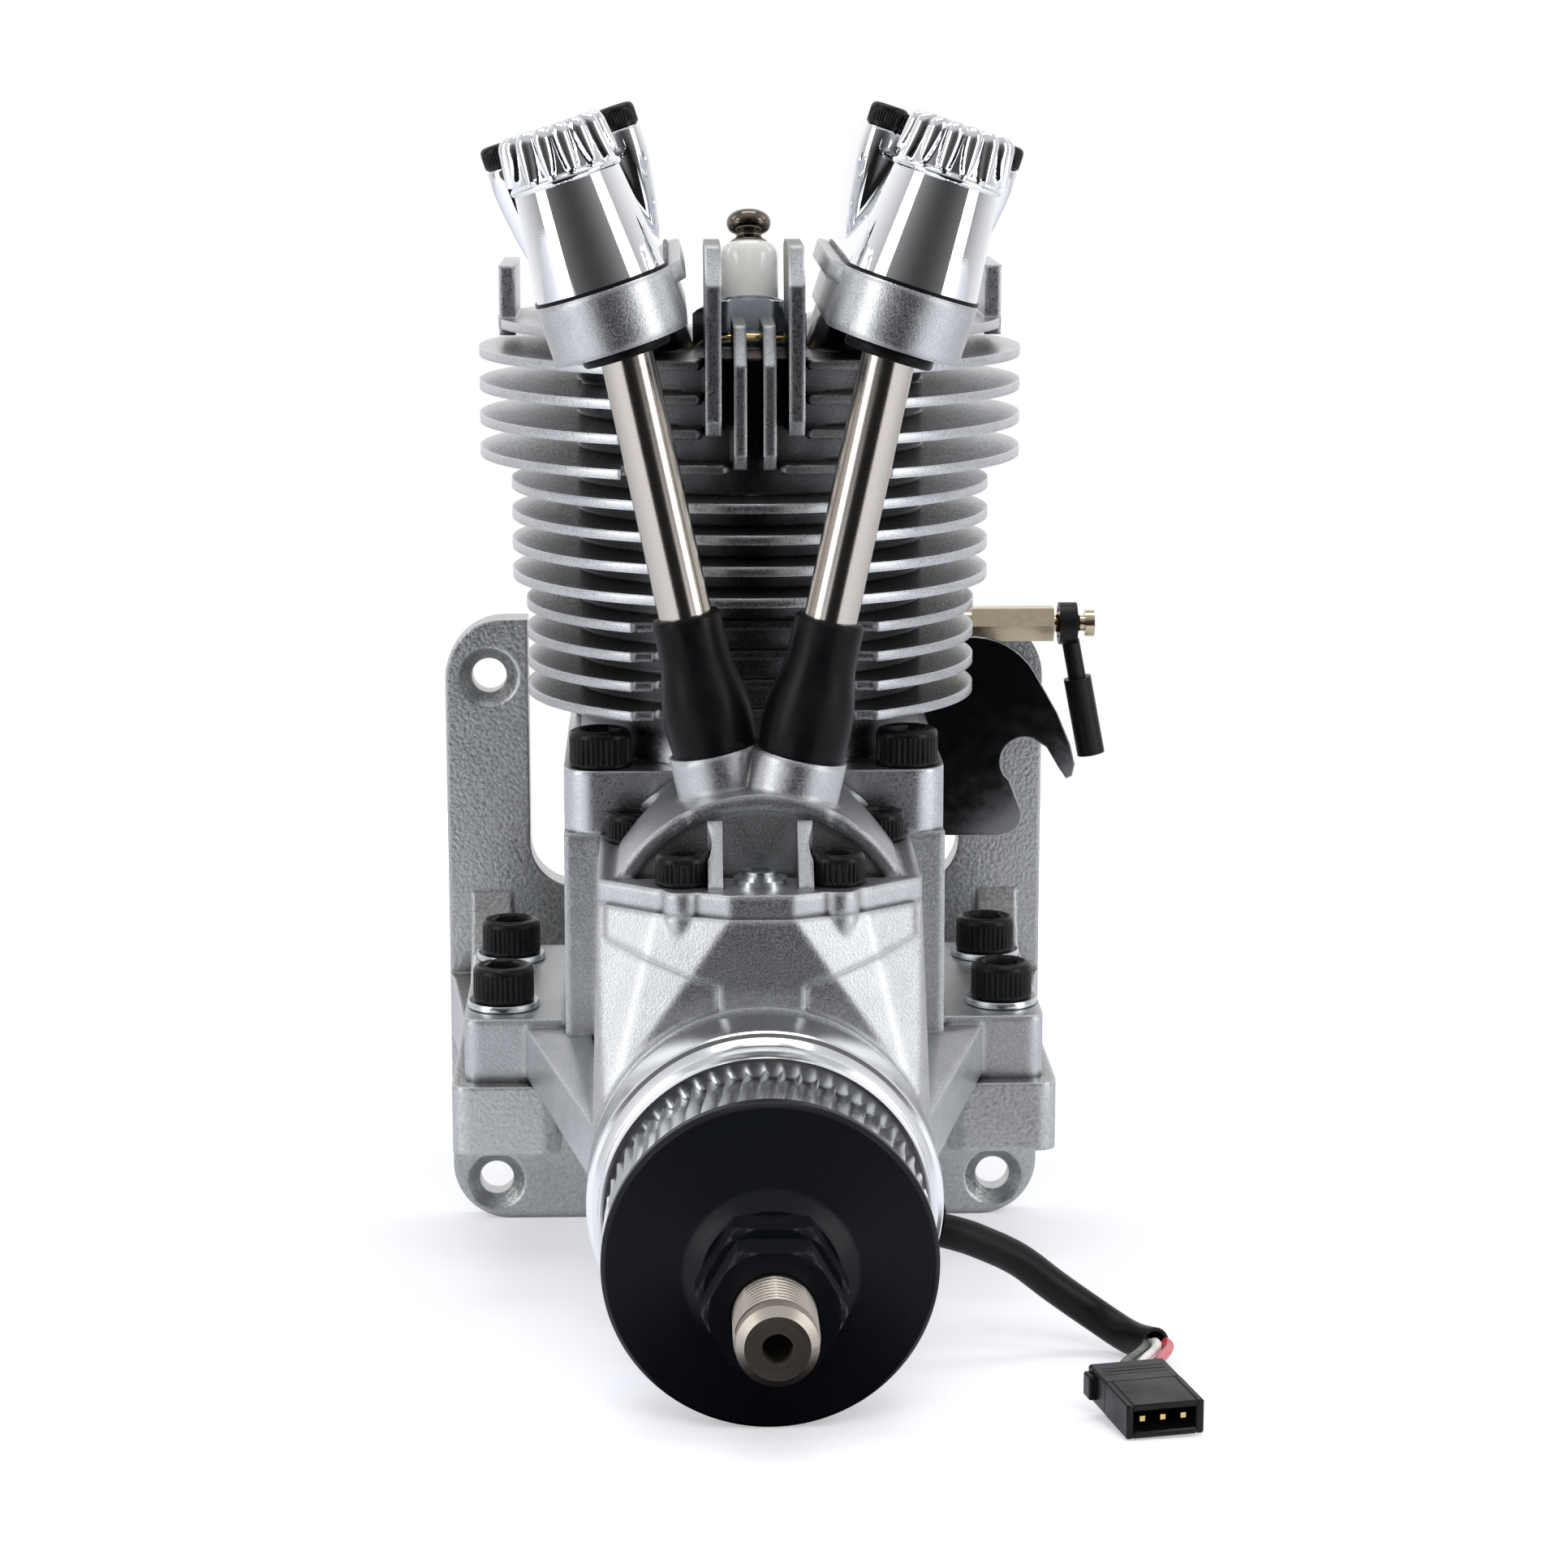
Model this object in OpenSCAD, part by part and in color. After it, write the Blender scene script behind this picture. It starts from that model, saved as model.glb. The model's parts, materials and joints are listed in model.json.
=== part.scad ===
// Single-cylinder four-stroke petrol engine for a model aircraft.
// Crank axis along Y, propeller end towards -Y, cylinder upright along Z.
// Origin: where the crank axis meets the firewall side of the mount plate.

/* [Cylinder] */
// Cylinder bore
bore_d = 40; // [36:0.5:42]
// Piston stroke
stroke = 32; // [28:0.5:33]
// Connecting rod, centre to centre
rod_len = 54; // [53.5:0.5:61]
// Height of the crankcase deck above the crank axis
deck_z = 36; // [36:0.5:37]
// Width and depth of the cylinder foot and crankcase
case_w = 52; // [51:0.5:54]
// Thickness of the cylinder foot
foot_h = 8.7; // [7:0.1:9.5]
// Thickness of one cooling fin
fin_t = 1.3; // [1:0.1:1.8]
// Radius of the lower fins
fin_low_r = 31.5; // [29:0.5:33]
// Radius of the middle fins
fin_mid_r = 33.4; // [31:0.2:35]
// Radius of the head fins
fin_head_r = 37.7; // [35:0.1:39]

/* [Crankcase] */
// Radius of the nose ring in front
nose_r = 21.9; // [21.5:0.1:22.2]
// Distance from the cylinder axis to the front of the nose
nose_len = 66; // [62:0.5:74]
// Distance from the rear of the crankcase to the firewall
rear_room = 20.4; // [20:0.1:24]
// Reach of the mounting lugs from the crank axis
lug_reach = 40.3; // [39.5:0.1:42]
// Thickness of the mounting lugs
lug_t = 8.9; // [7:0.1:10]
// Distance between the left and right lug screws
lug_screw_x = 70; // [68:0.5:71]
// Distance between the front and rear lug screws
lug_screw_y = 28; // [26:0.5:30]

/* [Mount] */
// Width of the mount plate
plate_w = 91.2; // [90:0.2:100]
// Thickness of the mount plate
plate_t = 6; // [5:0.5:6.5]
// Top edge of the mount plate above the crank axis
plate_top = 55.3; // [54:0.1:60]
// Bottom edge of the mount plate below the crank axis
plate_bottom = 39.6; // [38:0.1:41]
// Firewall screws, distance across
bolt_x = 78; // [74:0.5:79]
// Firewall screws, distance up
bolt_z = 80; // [76:0.5:80]
// Clearance hole of the firewall screws
bolt_d = 5.3; // [4.5:0.1:6]
// Depth of the arms that carry the lugs
arm_h = 9.7; // [8:0.1:11]

/* [Propeller shaft] */
// Thread diameter of the propeller shaft
thread_d = 9.5; // [8:0.1:10]
// Reach of the shaft tip in front of the nose
shaft_reach = 65.8; // [65.5:0.1:70]
// Hole for the spinner screw in the shaft end
spinner_d = 3.5; // [3:0.1:4]
// Radius of the driver's rear rim
driver_r = 22.3; // [21.5:0.1:23.5]
// Number of ridges on the driver
ridges = 56; // [40:1:64]
// Radius of the propeller washer
washer_r = 20.15; // [18:0.05:22]
// Width of the propeller nut across flats
nut_af = 14.8; // [14:0.1:16]

/* [Valve gear] */
// Distance from the crank axis up to the camshaft axis
cam_z = 25.4; // [25.2:0.1:25.8]
// Teeth of the crank pinion
pinion_teeth = 16; // [16:1:16]
// Lift of the cam lobes
cam_lift = 3; // [2:0.1:3]
// Outward lean of each rocker box in degrees
box_lean = 18; // [17.5:0.1:18.5]
// Diameter of a pushrod tube
tube_d = 7; // [6.4:0.1:7.4]
// Width of a rocker box across its rounded front
box_w = 17.8; // [17:0.1:18.6]
// Height of a rocker cover
cover_h = 21; // [20:0.5:22]
// Outer diameter of a valve stem
stem_d = 4; // [3.6:0.1:4.2]

/* [Throttle] */
// Throttle arm radius
throttle_arm = 7.2; // [6.5:0.1:7.4]
// Bore of the carburettor
throat_d = 11; // [10:0.5:11.5]
// Distance of the ball joint from the crank axis
ball_x = 49; // [48.5:0.1:50]

/* [Hidden] */
$fn = 64;
fit = 0.05;                    // radial running clearance
gap = 0.3;                     // free clearance between moving pieces
eps = 0.01;

throw = stroke / 2;
half = case_w / 2;
standoff = half + rear_room;   // cylinder axis to firewall
bore_r = bore_d / 2;
chamber_r = half - 1.7;
pin_z = throw + rod_len;       // wrist pin height at top dead centre
crown_h = 13.9;                // wrist pin to piston crown
crown_z = pin_z + crown_h;
skirt_z = pin_z - 11;
web_front = -12;               // crank web faces
web_rear = -4.2;
web_r = chamber_r - 0.9;
pin_r = 4.5;
big_end_r = chamber_r - throw - 0.6;
stud_xy = half - 5;             // cylinder screws, from the cylinder axis
cover_bolt = half - 6.5;        // rear cover screws
rear_cover_t = 3.5;

rear_bearing = [-24, 9, 7.5, 16];   // front face, width, shaft radius, outer radius
front_bearing = [-nose_len + 1, 8, 6, 14];
gear_y = -nose_len + 28;
gear_w = 4.5;
gear_module = cam_z * 2 / (3 * pinion_teeth);
cam_base_r = 5;
lobe_w = 3.4;
tappet_foot = cam_base_r + cam_lift + gap;
tappet_r = 2.5;
cam_front = -nose_len + 13.2;
push_y = [cam_front + 10.8, cam_front + 6.8];   // left and right pushrod planes
cam_rear = cam_front + 23.9;
dome_r = 21.3;
pocket_r = 18.7;
cam_shaft_r = 4;
thread_free = 9.9;             // thread in front of the lock nut
shaft_tip = nose_len + shaft_reach;

foot_top = deck_z + foot_h;
fin_low = [for (i = [0:3]) foot_top + 7 + 4.05 * i];
fin_mid = [for (i = [0:3]) crown_z - 15.8 + 4.2 * i];
fin_head = [for (i = [0:3]) crown_z + 1.4 + 4.6 * i];
top_fin = crown_z + 19.2;
barrel_r = half - 2;
rear_flat = half + 3.5;              // fins are cut here to clear the carburettor

box_x = 18.4;                  // rocker box reference point
box_z = crown_z + 23.1;
box_r = box_w / 2;
push_lean = atan((box_x - 0.653) / (box_z - cam_z));   // of the pushrods, outwards
box_front = push_y[1] + 2;      // centre of the rounded front
box_back = 6;
box_low = -3.4;
rim_z = 2;
rim_top = 4.5;
rim_lip = 0.6;
gasket_t = 0.5;
cover_z = rim_top + gasket_t;
cover_top = cover_z + cover_h;
pivot_y = -23;
pivot_z = 14;
rocker_r = 4.6;
shaft_r = 2.5;
shaft_end = 5.7;                // half the length of a rocker shaft
tip_z = 14;                    // valve tip above the box reference plane
seat_z = -16.2;                // valve seat below it
valve_r = 7;
port_x = 13;                   // ports, left intake and right exhaust
port_z = top_fin - 10.5;
port_face = 36;                // rear face of the port bosses
exhaust_r = 7;
exhaust_len = 12;
spring_r = 5.4;

m5_head = [4.25, 5];           // head radius and height
m4_head = [3.5, 4];
washer_t = 1;
bolt_margin = 6;
bolt_mid_z = bolt_z / 2 - plate_bottom + bolt_margin;

carb_y = half + 10.8;
throttle_z = 47.7;
carb_top = 62;
carb_low = 36;
needle_z = [carb_top - 5.5, carb_top - 11];
horn_z = 27;
horn_r = 8;
arm_x = 31.5;
arm_t = 1.5;
bracket_t = 1.2;
bracket_screws = [12, 21.5];
bracket_screw_z = half + 4.5;
ball_r = 2.2;
sleeve_r = 2.2;
wire_r = 0.65;
floor_slope = 0.1355;          // of the table that the engine stands tipped on

// Places the drawing of the engine, whose cylinder axis is at Y = 0, in the part's frame
module engine() translate([0, -standoff, 0]) children();
// A cylinder along Y that starts at y
module ycyl(r, y, len) translate([0, y, 0]) rotate([-90, 0, 0]) cylinder(r = r, h = len);
// A cylinder along X that starts at x
module xcyl(r, x, len) translate([x, 0, 0]) rotate([0, 90, 0]) cylinder(r = r, h = len);
module both() { children(); mirror([1, 0, 0]) children(); }
// Draws a right-hand piece on the side s: -1 left, 1 right
module on_side(s) mirror([s < 0 ? 1 : 0, 0, 0]) children();
// Frame of the right rocker box: z up its lean, x across
module box_frame() translate([box_x, 0, box_z]) rotate([0, box_lean, 0]) children();
// Frame of the right pushrod: z along it from the camshaft axis
module push_frame(y) translate([0, y, cam_z]) rotate([0, push_lean, 0]) children();
module rounded(w, d, r) translate([-w / 2 + r, -d / 2 + r]) offset(r = r) square([w - 2 * r, d - 2 * r]);
module block(x, y, z, r, $fn = 24) {
    translate([(x[0] + x[1]) / 2, (y[0] + y[1]) / 2, z[0]])
        linear_extrude(z[1] - z[0]) round_rect(x[1] - x[0], y[1] - y[0], r);
}
// Rectangle with rounded corners built from true arcs
module round_rect(w, d, r) {
    square([w - 2 * r, d], center = true);
    square([w, d - 2 * r], center = true);
    for (x = [-1, 1], y = [-1, 1]) translate([x * (w / 2 - r), y * (d / 2 - r)]) circle(r);
}
module stadium(r, y0, y1) {
    translate([-r, y0]) square([2 * r, y1 - y0]);
    for (y = [y0, y1]) translate([0, y]) circle(r);
}
// Cap head screw, head base at z = 0, shank downwards
module cap_screw(head, shank_r, shank_len) {
    difference() {
        cylinder(r = head[0], h = head[1], $fn = 48);
        translate([0, 0, head[1] * 0.45]) cylinder(r = head[0] * 0.55, h = head[1], $fn = 6);
    }
    translate([0, 0, -shank_len]) cylinder(r = shank_r, h = shank_len + eps, $fn = 32);
}

// Involute gear outline with a little backlash
function involute(base, a) = base * [cos(a) + a * PI / 180 * sin(a), sin(a) - a * PI / 180 * cos(a)];
function turn(p, a) = [p[0] * cos(a) - p[1] * sin(a), p[0] * sin(a) + p[1] * cos(a)];
function flank_angle(base, r) = sqrt(max(0, pow(r / base, 2) - 1)) * 180 / PI;
module gear(teeth, backlash = 0.16) {
    pitch_r = gear_module * teeth / 2;
    base = pitch_r * cos(20);
    tip = pitch_r + 0.9 * gear_module;
    root = pitch_r - 1.2 * gear_module;
    pitch_a = flank_angle(base, pitch_r);
    polar = atan2(involute(base, pitch_a)[1], involute(base, pitch_a)[0]);
    half_tooth = 90 / teeth - backlash / pitch_r * 90 / PI;
    top_a = flank_angle(base, tip);
    flank = [for (i = [0:3]) turn(involute(base, top_a * i / 3), -polar - half_tooth)];
    low = turn([root, 0], -polar - half_tooth);
    tooth = concat([low], flank, [for (i = [3:-1:0]) [flank[i][0], -flank[i][1]]], [[low[0], -low[1]]]);
    polygon([for (k = [0:teeth - 1]) for (p = tooth) turn(p, k * 360 / teeth)]);
}

// Tube swept along a list of points
function unit(v) = v / norm(v);
function smooth_point(p, i, t) = let (n = len(p) - 1,
    a = p[max(i - 1, 0)], b = p[i], c = p[min(i + 1, n)], d = p[min(i + 2, n)])
    0.5 * (2 * b + t * (c - a) + t * t * (2 * a - 5 * b + 4 * c - d)
           + t * t * t * (3 * b - a - 3 * c + d));
function smooth(p, steps) = concat(
    [for (i = [0:len(p) - 2]) for (k = [0:steps - 1]) smooth_point(p, i, k / steps)], [p[len(p) - 1]]);
function tangent(p, i) = unit(p[min(i + 1, len(p) - 1)] - p[max(i - 1, 0)]);
module sweep(p, r, sides = 8, ref = [0.13, 0.21, 1]) {
    n = len(p);
    rings = [for (i = [0:n - 1]) let (t = tangent(p, i), u = unit(cross(t, ref)), v = cross(t, u))
        for (k = [0:sides - 1]) p[i] + r * (cos(k * 360 / sides) * u + sin(k * 360 / sides) * v)];
    walls = [for (i = [0:n - 2]) for (k = [0:sides - 1])
        let (a = i * sides + k, b = i * sides + (k + 1) % sides) [a, b, b + sides, a + sides]];
    polyhedron(rings, concat([[for (k = [sides - 1:-1:0]) k]], walls,
        [[for (k = [0:sides - 1]) (n - 1) * sides + k]]), convexity = 6);
}

// Plan outline of the cam housing flange and the crankcase nose under it
module nose_plan() translate([0, -nose_len]) polygon([[-21, nose_len - half + eps], [-21, 12], [-13.5, 6],
    [-10, 4.5], [-4, 1.7], [4, 1.7], [10, 4.5], [13.5, 6], [21, 12], [21, nose_len - half + eps]]);
flange_z = deck_z - 3;
cam_screws = [[-16.7, -half - 3.8], [16.7, -half - 3.8], [-10, -nose_len + 9.6],
    [10, -nose_len + 9.6]];

boss_r = 2.7;
// Wedge between the flange of the cam housing and the nose ring
module nose_body() hull($fn = 32) {
    translate([0, 0, flange_z - 4]) linear_extrude(4) nose_plan();
    ycyl(nose_r, -nose_len + 1.5, nose_len - half - 1.5);
}
module crankcase() color("silver") engine() difference() {
    union() {
        rotate([90, 0, 0]) translate([0, 0, -half]) linear_extrude(2 * half) {
            circle(half);
            translate([-half, 0]) square([2 * half, deck_z]);
        }
        block([-lug_reach, lug_reach], [-22, 22], [0, lug_t], 2);
        ycyl(nose_r, -nose_len, nose_len);
        nose_body();
        intersection() {
            translate([0, -0.7, 0]) nose_body();
            rotate([90, 0, 0]) linear_extrude(70) polygon([[-20, flange_z], [-20, 29], [-5.5, 24.4],
                [-5.5, 10], [5.5, 10], [5.5, 24.4], [20, 29], [20, flange_z]]);
        }
        for (s = [-1, 1]) hull() {
            translate([s * 30 - 1.5, -23, 0.8]) cube([3, 2, lug_t - 1.8]);
            translate([s * 20.5 - 1.5, -50, -6]) cube([3, 2, 8]);
            translate([s * 24 - 1.5, -half - 1, 0.8]) cube([3, 2, 7]);
        }
        for (x = [-10, 10]) translate([x, -nose_len + 5.8, flange_z]) {
            translate([0, 0, -5]) cylinder(r = boss_r, h = 5);
            translate([0, 0, -9]) cylinder(r1 = 1, r2 = boss_r, h = 4.01);
        }
    }
    ycyl(chamber_r, -13, half + 13 + eps);
    translate([0, 0, 10]) cylinder(r = bore_r + 2.05, h = deck_z);
    ycyl(rear_bearing[3], rear_bearing[0], 12);
    ycyl(11, -45, 25);
    ycyl(8, -nose_len + 1, nose_len - 20);
    ycyl(front_bearing[3], -nose_len - 1, front_bearing[1] + 2);
    translate([0, 0, cam_z]) ycyl(pocket_r, cam_front + 0.1, cam_rear - cam_front - 0.2);
    translate([-pocket_r, cam_front + 0.1, cam_z]) cube([2 * pocket_r, cam_rear - cam_front - 0.2, 20]);
    translate([-30, -nose_len - 5, flange_z]) cube([60, nose_len + 5 - half, 20]);
    for (x = [-1, 1], y = [-1, 1]) {
        translate([x * stud_xy, y * stud_xy, deck_z - 12]) cylinder(r = 2.5, h = 20);
        translate([x * lug_screw_x / 2, y * lug_screw_y / 2, -1]) cylinder(r = 2.75, h = lug_t + 2);
        translate([x * cover_bolt, 0, y * cover_bolt]) ycyl(2, half - 9, 10);
    }
    for (p = cam_screws) translate([p[0], p[1], flange_z - 9]) cylinder(r = 2, h = 12);
    for (x = bracket_screws) translate([x, half - 2.4, bracket_screw_z]) rotate([-90, 0, 0])
        cylinder(r = 1.5, h = 4);
}

module rear_cover() color("silver") engine() difference() {
    union() {
        translate([0, half + rear_cover_t, 0]) rotate([90, 0, 0])
            linear_extrude(rear_cover_t) round_rect(2 * half - 3, 2 * half - 3, 6);
        ycyl(chamber_r - 0.1, half - 4, 5);
        ycyl(15, half + rear_cover_t - 0.5, 3);
    }
    ycyl(11, half + rear_cover_t + 1, 5);
    ycyl(chamber_r - 3, half - 5, 4);
    for (x = [-1, 1], z = [-1, 1]) translate([x * cover_bolt, 0, z * cover_bolt]) ycyl(2.2, half - 5, 12);
}

module case_screws() color([0.08, 0.08, 0.08]) engine() {
    for (p = cam_screws) translate([p[0], p[1], deck_z]) cap_screw(m4_head, 2, 10);
    for (x = [-1, 1], z = [-1, 1]) translate([x * cover_bolt, half + rear_cover_t, z * cover_bolt])
        rotate([-90, 0, 0]) cap_screw(m4_head, 2, 9);
    for (x = bracket_screws) translate([x, half + bracket_t, bracket_screw_z])
        rotate([-90, 0, 0]) cap_screw([2.75, 3], 1.5, bracket_t + 2.2);
}

// Cast mount: plate against the firewall with two arms forward under the lugs
module engine_mount() color([0.62, 0.63, 0.64]) difference() {
    arm_out = lug_reach + 1.7;
    arm_in = half + 1;
    union() {
        translate([0, 0, (plate_top - plate_bottom) / 2]) rotate([90, 0, 0])
            linear_extrude(plate_t) round_rect(plate_w, plate_top + plate_bottom, 9);
        both() {
            block([arm_in, arm_out], [-standoff - 24.8, -plate_t + 1], [-arm_h, 0], 2.5);
            translate([0, 0, -arm_h]) linear_extrude(arm_h) polygon([[arm_in, -plate_t - 6],
                [arm_in - 5, -plate_t + eps], [plate_w / 2, -plate_t + eps], [plate_w / 2 - 0.8, -plate_t - 4],
                [arm_out, -plate_t - 30]]);
            translate([arm_out - 6, -plate_t + eps, 0]) rotate([90, 0, 90])
                linear_extrude(6) polygon([[0, -1], [0, 13], [-2, 9], [-5, 4], [-10, 0.8], [-15, -1]]);
        }
    }
    translate([0, eps, 0]) rotate([90, 0, 0]) linear_extrude(plate_t + 1) {
        translate([0, 13.7 + 40]) round_rect(66, 80, 7);
    }
    for (x = [-1, 1], z = [-1, 1]) translate([x * bolt_x / 2, 0, bolt_mid_z + z * bolt_z / 2]) {
        ycyl(bolt_d / 2, -plate_t - 1, plate_t + 2);
        translate([0, -plate_t - eps, 0]) rotate([-90, 0, 0])
            cylinder(r1 = 4.6, r2 = bolt_d / 2, h = 2.2);
    }
    for (x = [-1, 1], y = [-1, 1]) translate([x * lug_screw_x / 2, y * lug_screw_y / 2 - standoff, -arm_h - 1])
        cylinder(r = 2.5, h = arm_h + 2);
}

module mount_screws() color([0.08, 0.08, 0.08]) engine()
    for (x = [-1, 1], y = [-1, 1]) translate([x * lug_screw_x / 2, y * lug_screw_y / 2, lug_t + washer_t])
        cap_screw(m5_head, 2.5, lug_t + washer_t + arm_h + 1);

module mount_washers() color("silver") engine()
    for (x = [-1, 1], y = [-1, 1]) translate([x * lug_screw_x / 2, y * lug_screw_y / 2, lug_t]) difference() {
        cylinder(r = 5, h = washer_t);
        translate([0, 0, -1]) cylinder(r = 2.65, h = washer_t + 2);
    }

// Seat of the spark plug, z along the plug
plug_lean = 18;
plug_thread_r = 5;
plug_seat_r = 7.8;
module plug_axis() translate([0, -2, top_fin - 8]) rotate([-plug_lean, 0, 0])
    translate([0, 0, 4.2]) children();
// One round fin, cut flat in front and behind
module fin(z, r, front, rear) translate([0, 0, z]) intersection() {
    cylinder(r = r, h = fin_t);
    translate([-r - 1, -front, -1]) cube([2 * r + 2, front + rear, fin_t + 2]);
}
// Notch in the front of the head fins, with upright fins standing in it
module head_notch() for (w = [[17.8, fin_head[0] - 1, 22], [10.5, fin_head[0] + 4, 24]])
    translate([-w[0], -50, w[1]]) cube([2 * w[0], 50 - w[2], 60]);
module upright(x, z0, z1, y0, t = 2) translate([x - t / 2, 0, 0]) rotate([90, 0, 90]) linear_extrude(t)
    polygon([[y0 + 1.5, z0], [-15, z0], [-8, z1 - 1], [-13, z1], [y0 + 4, z1], [y0, z1 - 5], [y0, z0 + 2]]);

module valve_path(s) on_side(s) box_frame() {
    translate([0, 0, seat_z - 2]) cylinder(r = stem_d / 2 + fit, h = 40);
    translate([0, 0, seat_z - 4.2]) cylinder(r = valve_r + gap, h = 5.2);
    translate([0, 0, seat_z]) cylinder(r = valve_r - 1.2, h = 7);
}

module cylinder_block() {
    translate([0, 0, deck_z]) linear_extrude(foot_h) round_rect(2 * half, 2 * half, 4);
    translate([0, 0, deck_z - 6]) cylinder(r = bore_r + 2, h = 10);
    translate([0, 0, deck_z + 2]) cylinder(r = barrel_r, h = fin_head[3] + fin_t - deck_z - 2);
    difference() {
        for (z = fin_low) fin(z, fin_low_r, 28.5, rear_flat);
        for (w = [[17, 26.3], [13.8, 25.2]]) translate([0, -w[1] - 10, foot_top + 5])
            linear_extrude(17) round_rect(2 * w[0], 20, 1.5);
    }
    for (z = fin_mid) fin(z, fin_mid_r, fin_mid_r, rear_flat + 1);
    difference() {
        for (z = fin_head) fin(z, fin_head_r, fin_head_r, port_face - 0.5);
        head_notch();
    }
    difference() {
        fin(top_fin, 35, 33, 33);
        translate([-16, -50, top_fin - 1]) cube([32, 100, 10]);
    }
    for (x = [-1, 1]) {
        upright(x * 5.5, fin_head[1] + 1, top_fin + 12.5, -34, 2.1);
        upright(x * 1.95, fin_head[0] + 1, top_fin + 2, -33, 1.7);
        translate([x * 33.5 - 1.1, -6, top_fin - 1]) cube([2.2, 20, 9.5]);
        on_side(x) box_frame() translate([0, 0, box_low - 13]) linear_extrude(13) stadium(box_r - 1, -8, 8);
    }
    translate([-port_x, 0, port_z]) ycyl(8.5, 10, port_face - 10);
    translate([port_x, 0, port_z]) ycyl(10, 10, port_face - 10);
    plug_axis() translate([0, 0, -6.5]) cylinder(r = plug_seat_r + 0.7, h = 6.5);
}

module cylinder_part() color([0.7, 0.71, 0.72]) engine() difference() {
    cylinder_block();
    translate([0, 0, deck_z - 10]) cylinder(r = bore_r, h = crown_z - deck_z + 10 + 1.5);
    translate([0, 0, crown_z + 1.5 - eps]) cylinder(r1 = bore_r, r2 = 9, h = 6);
    for (s = [-1, 1]) valve_path(s);
    translate([-port_x, 0, port_z]) ycyl(manifold_r - 1.2, 8, 30);
    translate([port_x, 0, port_z]) {
        ycyl(5.5, 8, 20);
        ycyl(exhaust_r, port_face - exhaust_len, exhaust_len + 2);
    }
    for (s = [-1, 1]) on_side(s) box_frame() {
        translate([0, 0, box_low]) linear_extrude(40) stadium(box_r + gap, box_front, box_back);
        translate([-1, 0, rim_z - gap]) linear_extrude(30)
            stadium(box_r + rim_lip + gap, box_front + 6, box_back + 1);
    }
    plug_axis() {
        translate([0, 0, -18.5]) cylinder(r = plug_thread_r, h = 22);
        cylinder(r = plug_seat_r + 1.2, h = 20);
    }
    for (x = [-1, 1], y = [-1, 1]) translate([x * stud_xy, y * stud_xy, deck_z - 1]) {
        cylinder(r = 2.7, h = foot_h + 2);
        translate([0, 0, foot_h + 1]) cylinder(r = 5, h = 5.4);
    }
}

module cylinder_screws() color([0.08, 0.08, 0.08]) engine()
    for (x = [-1, 1], y = [-1, 1]) translate([x * stud_xy, y * stud_xy, foot_top])
        cap_screw(m5_head, 2.5, foot_h + 9);

module cam_housing() color("silver") engine() difference() {
    union() {
        translate([0, 0, flange_z]) linear_extrude(3) nose_plan();
        for (x = [-10, 10]) translate([x, -nose_len + 5.8, flange_z]) cylinder(r = boss_r, h = 3);
        intersection() {
            translate([0, 0, cam_z]) ycyl(dome_r, cam_front, -half - 0.2 - cam_front);
            translate([-30, -60, flange_z]) cube([60, 60, 40]);
        }
        for (s = [-1, 1]) on_side(s) push_frame(push_y[s > 0 ? 1 : 0]) cylinder(r = 6.2, h = 26);
        for (x = [-5.8, 5.8]) translate([x - 0.95, 0, 0]) rotate([90, 0, 90]) linear_extrude(1.9)
            polygon([[cam_front + 1, deck_z - 1], [cam_front + 1, deck_z + 7.6],
                [cam_front - 1.5, deck_z + 7.6],
                [-nose_len + 5, deck_z + 0.5], [-nose_len + 5, deck_z - 1]]);
        for (y = [cam_front + 0.3, cam_rear - 2.3]) translate([-7, y, cam_z - 7]) cube([14, 2, 16]);
    }
    translate([0, 0, cam_z]) ycyl(pocket_r, cam_front + 2.3, cam_rear - cam_front - 4.6);
    translate([0, 0, cam_z]) ycyl(cam_shaft_r + fit, cam_front + 1, cam_rear - cam_front + 5);
    translate([0, 0, cam_z]) difference() {
        ycyl(dome_r - 1.9, cam_front - 1, 1.7);
        translate([-9, -60, -2]) cube([18, 20, 10.6]);
    }
    for (s = [-1, 1]) on_side(s) push_frame(push_y[s > 0 ? 1 : 0]) cylinder(r = tappet_r + fit, h = 30);
    for (p = cam_screws) translate([p[0], p[1], 0]) {
        cylinder(r = 2.2, h = 60);
        translate([0, 0, deck_z]) cylinder(r = m4_head[0] + 0.3, h = 10);
    }
    translate([0, -nose_len + 9.2, flange_z - 1]) cylinder(r = 2, h = 6);
}

module oil_plug() color("silver") engine() translate([0, -nose_len + 9.2, deck_z]) difference() {
    union() {
        cylinder(r = 3.4, h = 0.8);
        cylinder(r = 2.3, h = 1.8);
        translate([0, 0, flange_z - deck_z]) cylinder(r = 2, h = 4);
    }
    translate([0, 0, 0.4]) cylinder(r = 1.4, h = 3, $fn = 6);
}

module rocker_box(s) color("silver") engine() on_side(s) difference() {
    box_frame() union() {
        translate([0, 0, box_low]) linear_extrude(rim_top - box_low) stadium(box_r, box_front, box_back);
        translate([-1, 0, rim_z]) linear_extrude(rim_top - rim_z)
            stadium(box_r + rim_lip, box_front + 6, box_back + 1);
    }
    difference() {
        box_frame() translate([0, 0, box_low + 2.5]) linear_extrude(20)
            stadium(box_r - 1.8, box_front, box_back);
        box_frame() for (x = [-shaft_end, shaft_end - 1.1]) translate([x, pivot_y - 4, box_low])
            cube([1.1, 8, pivot_z + 2.5 - box_low]);
    }
    box_frame() translate([0, 0, box_low - 5]) cylinder(r = stem_d / 2 + fit, h = 20);
    push_frame(push_y[s > 0 ? 1 : 0]) translate([0, 0, 60]) cylinder(r = tube_d / 2, h = 40);
    box_frame() translate([-box_r + 3.4, pivot_y, 0]) cylinder(r = 1.2, h = rim_top + 1);
}

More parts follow.
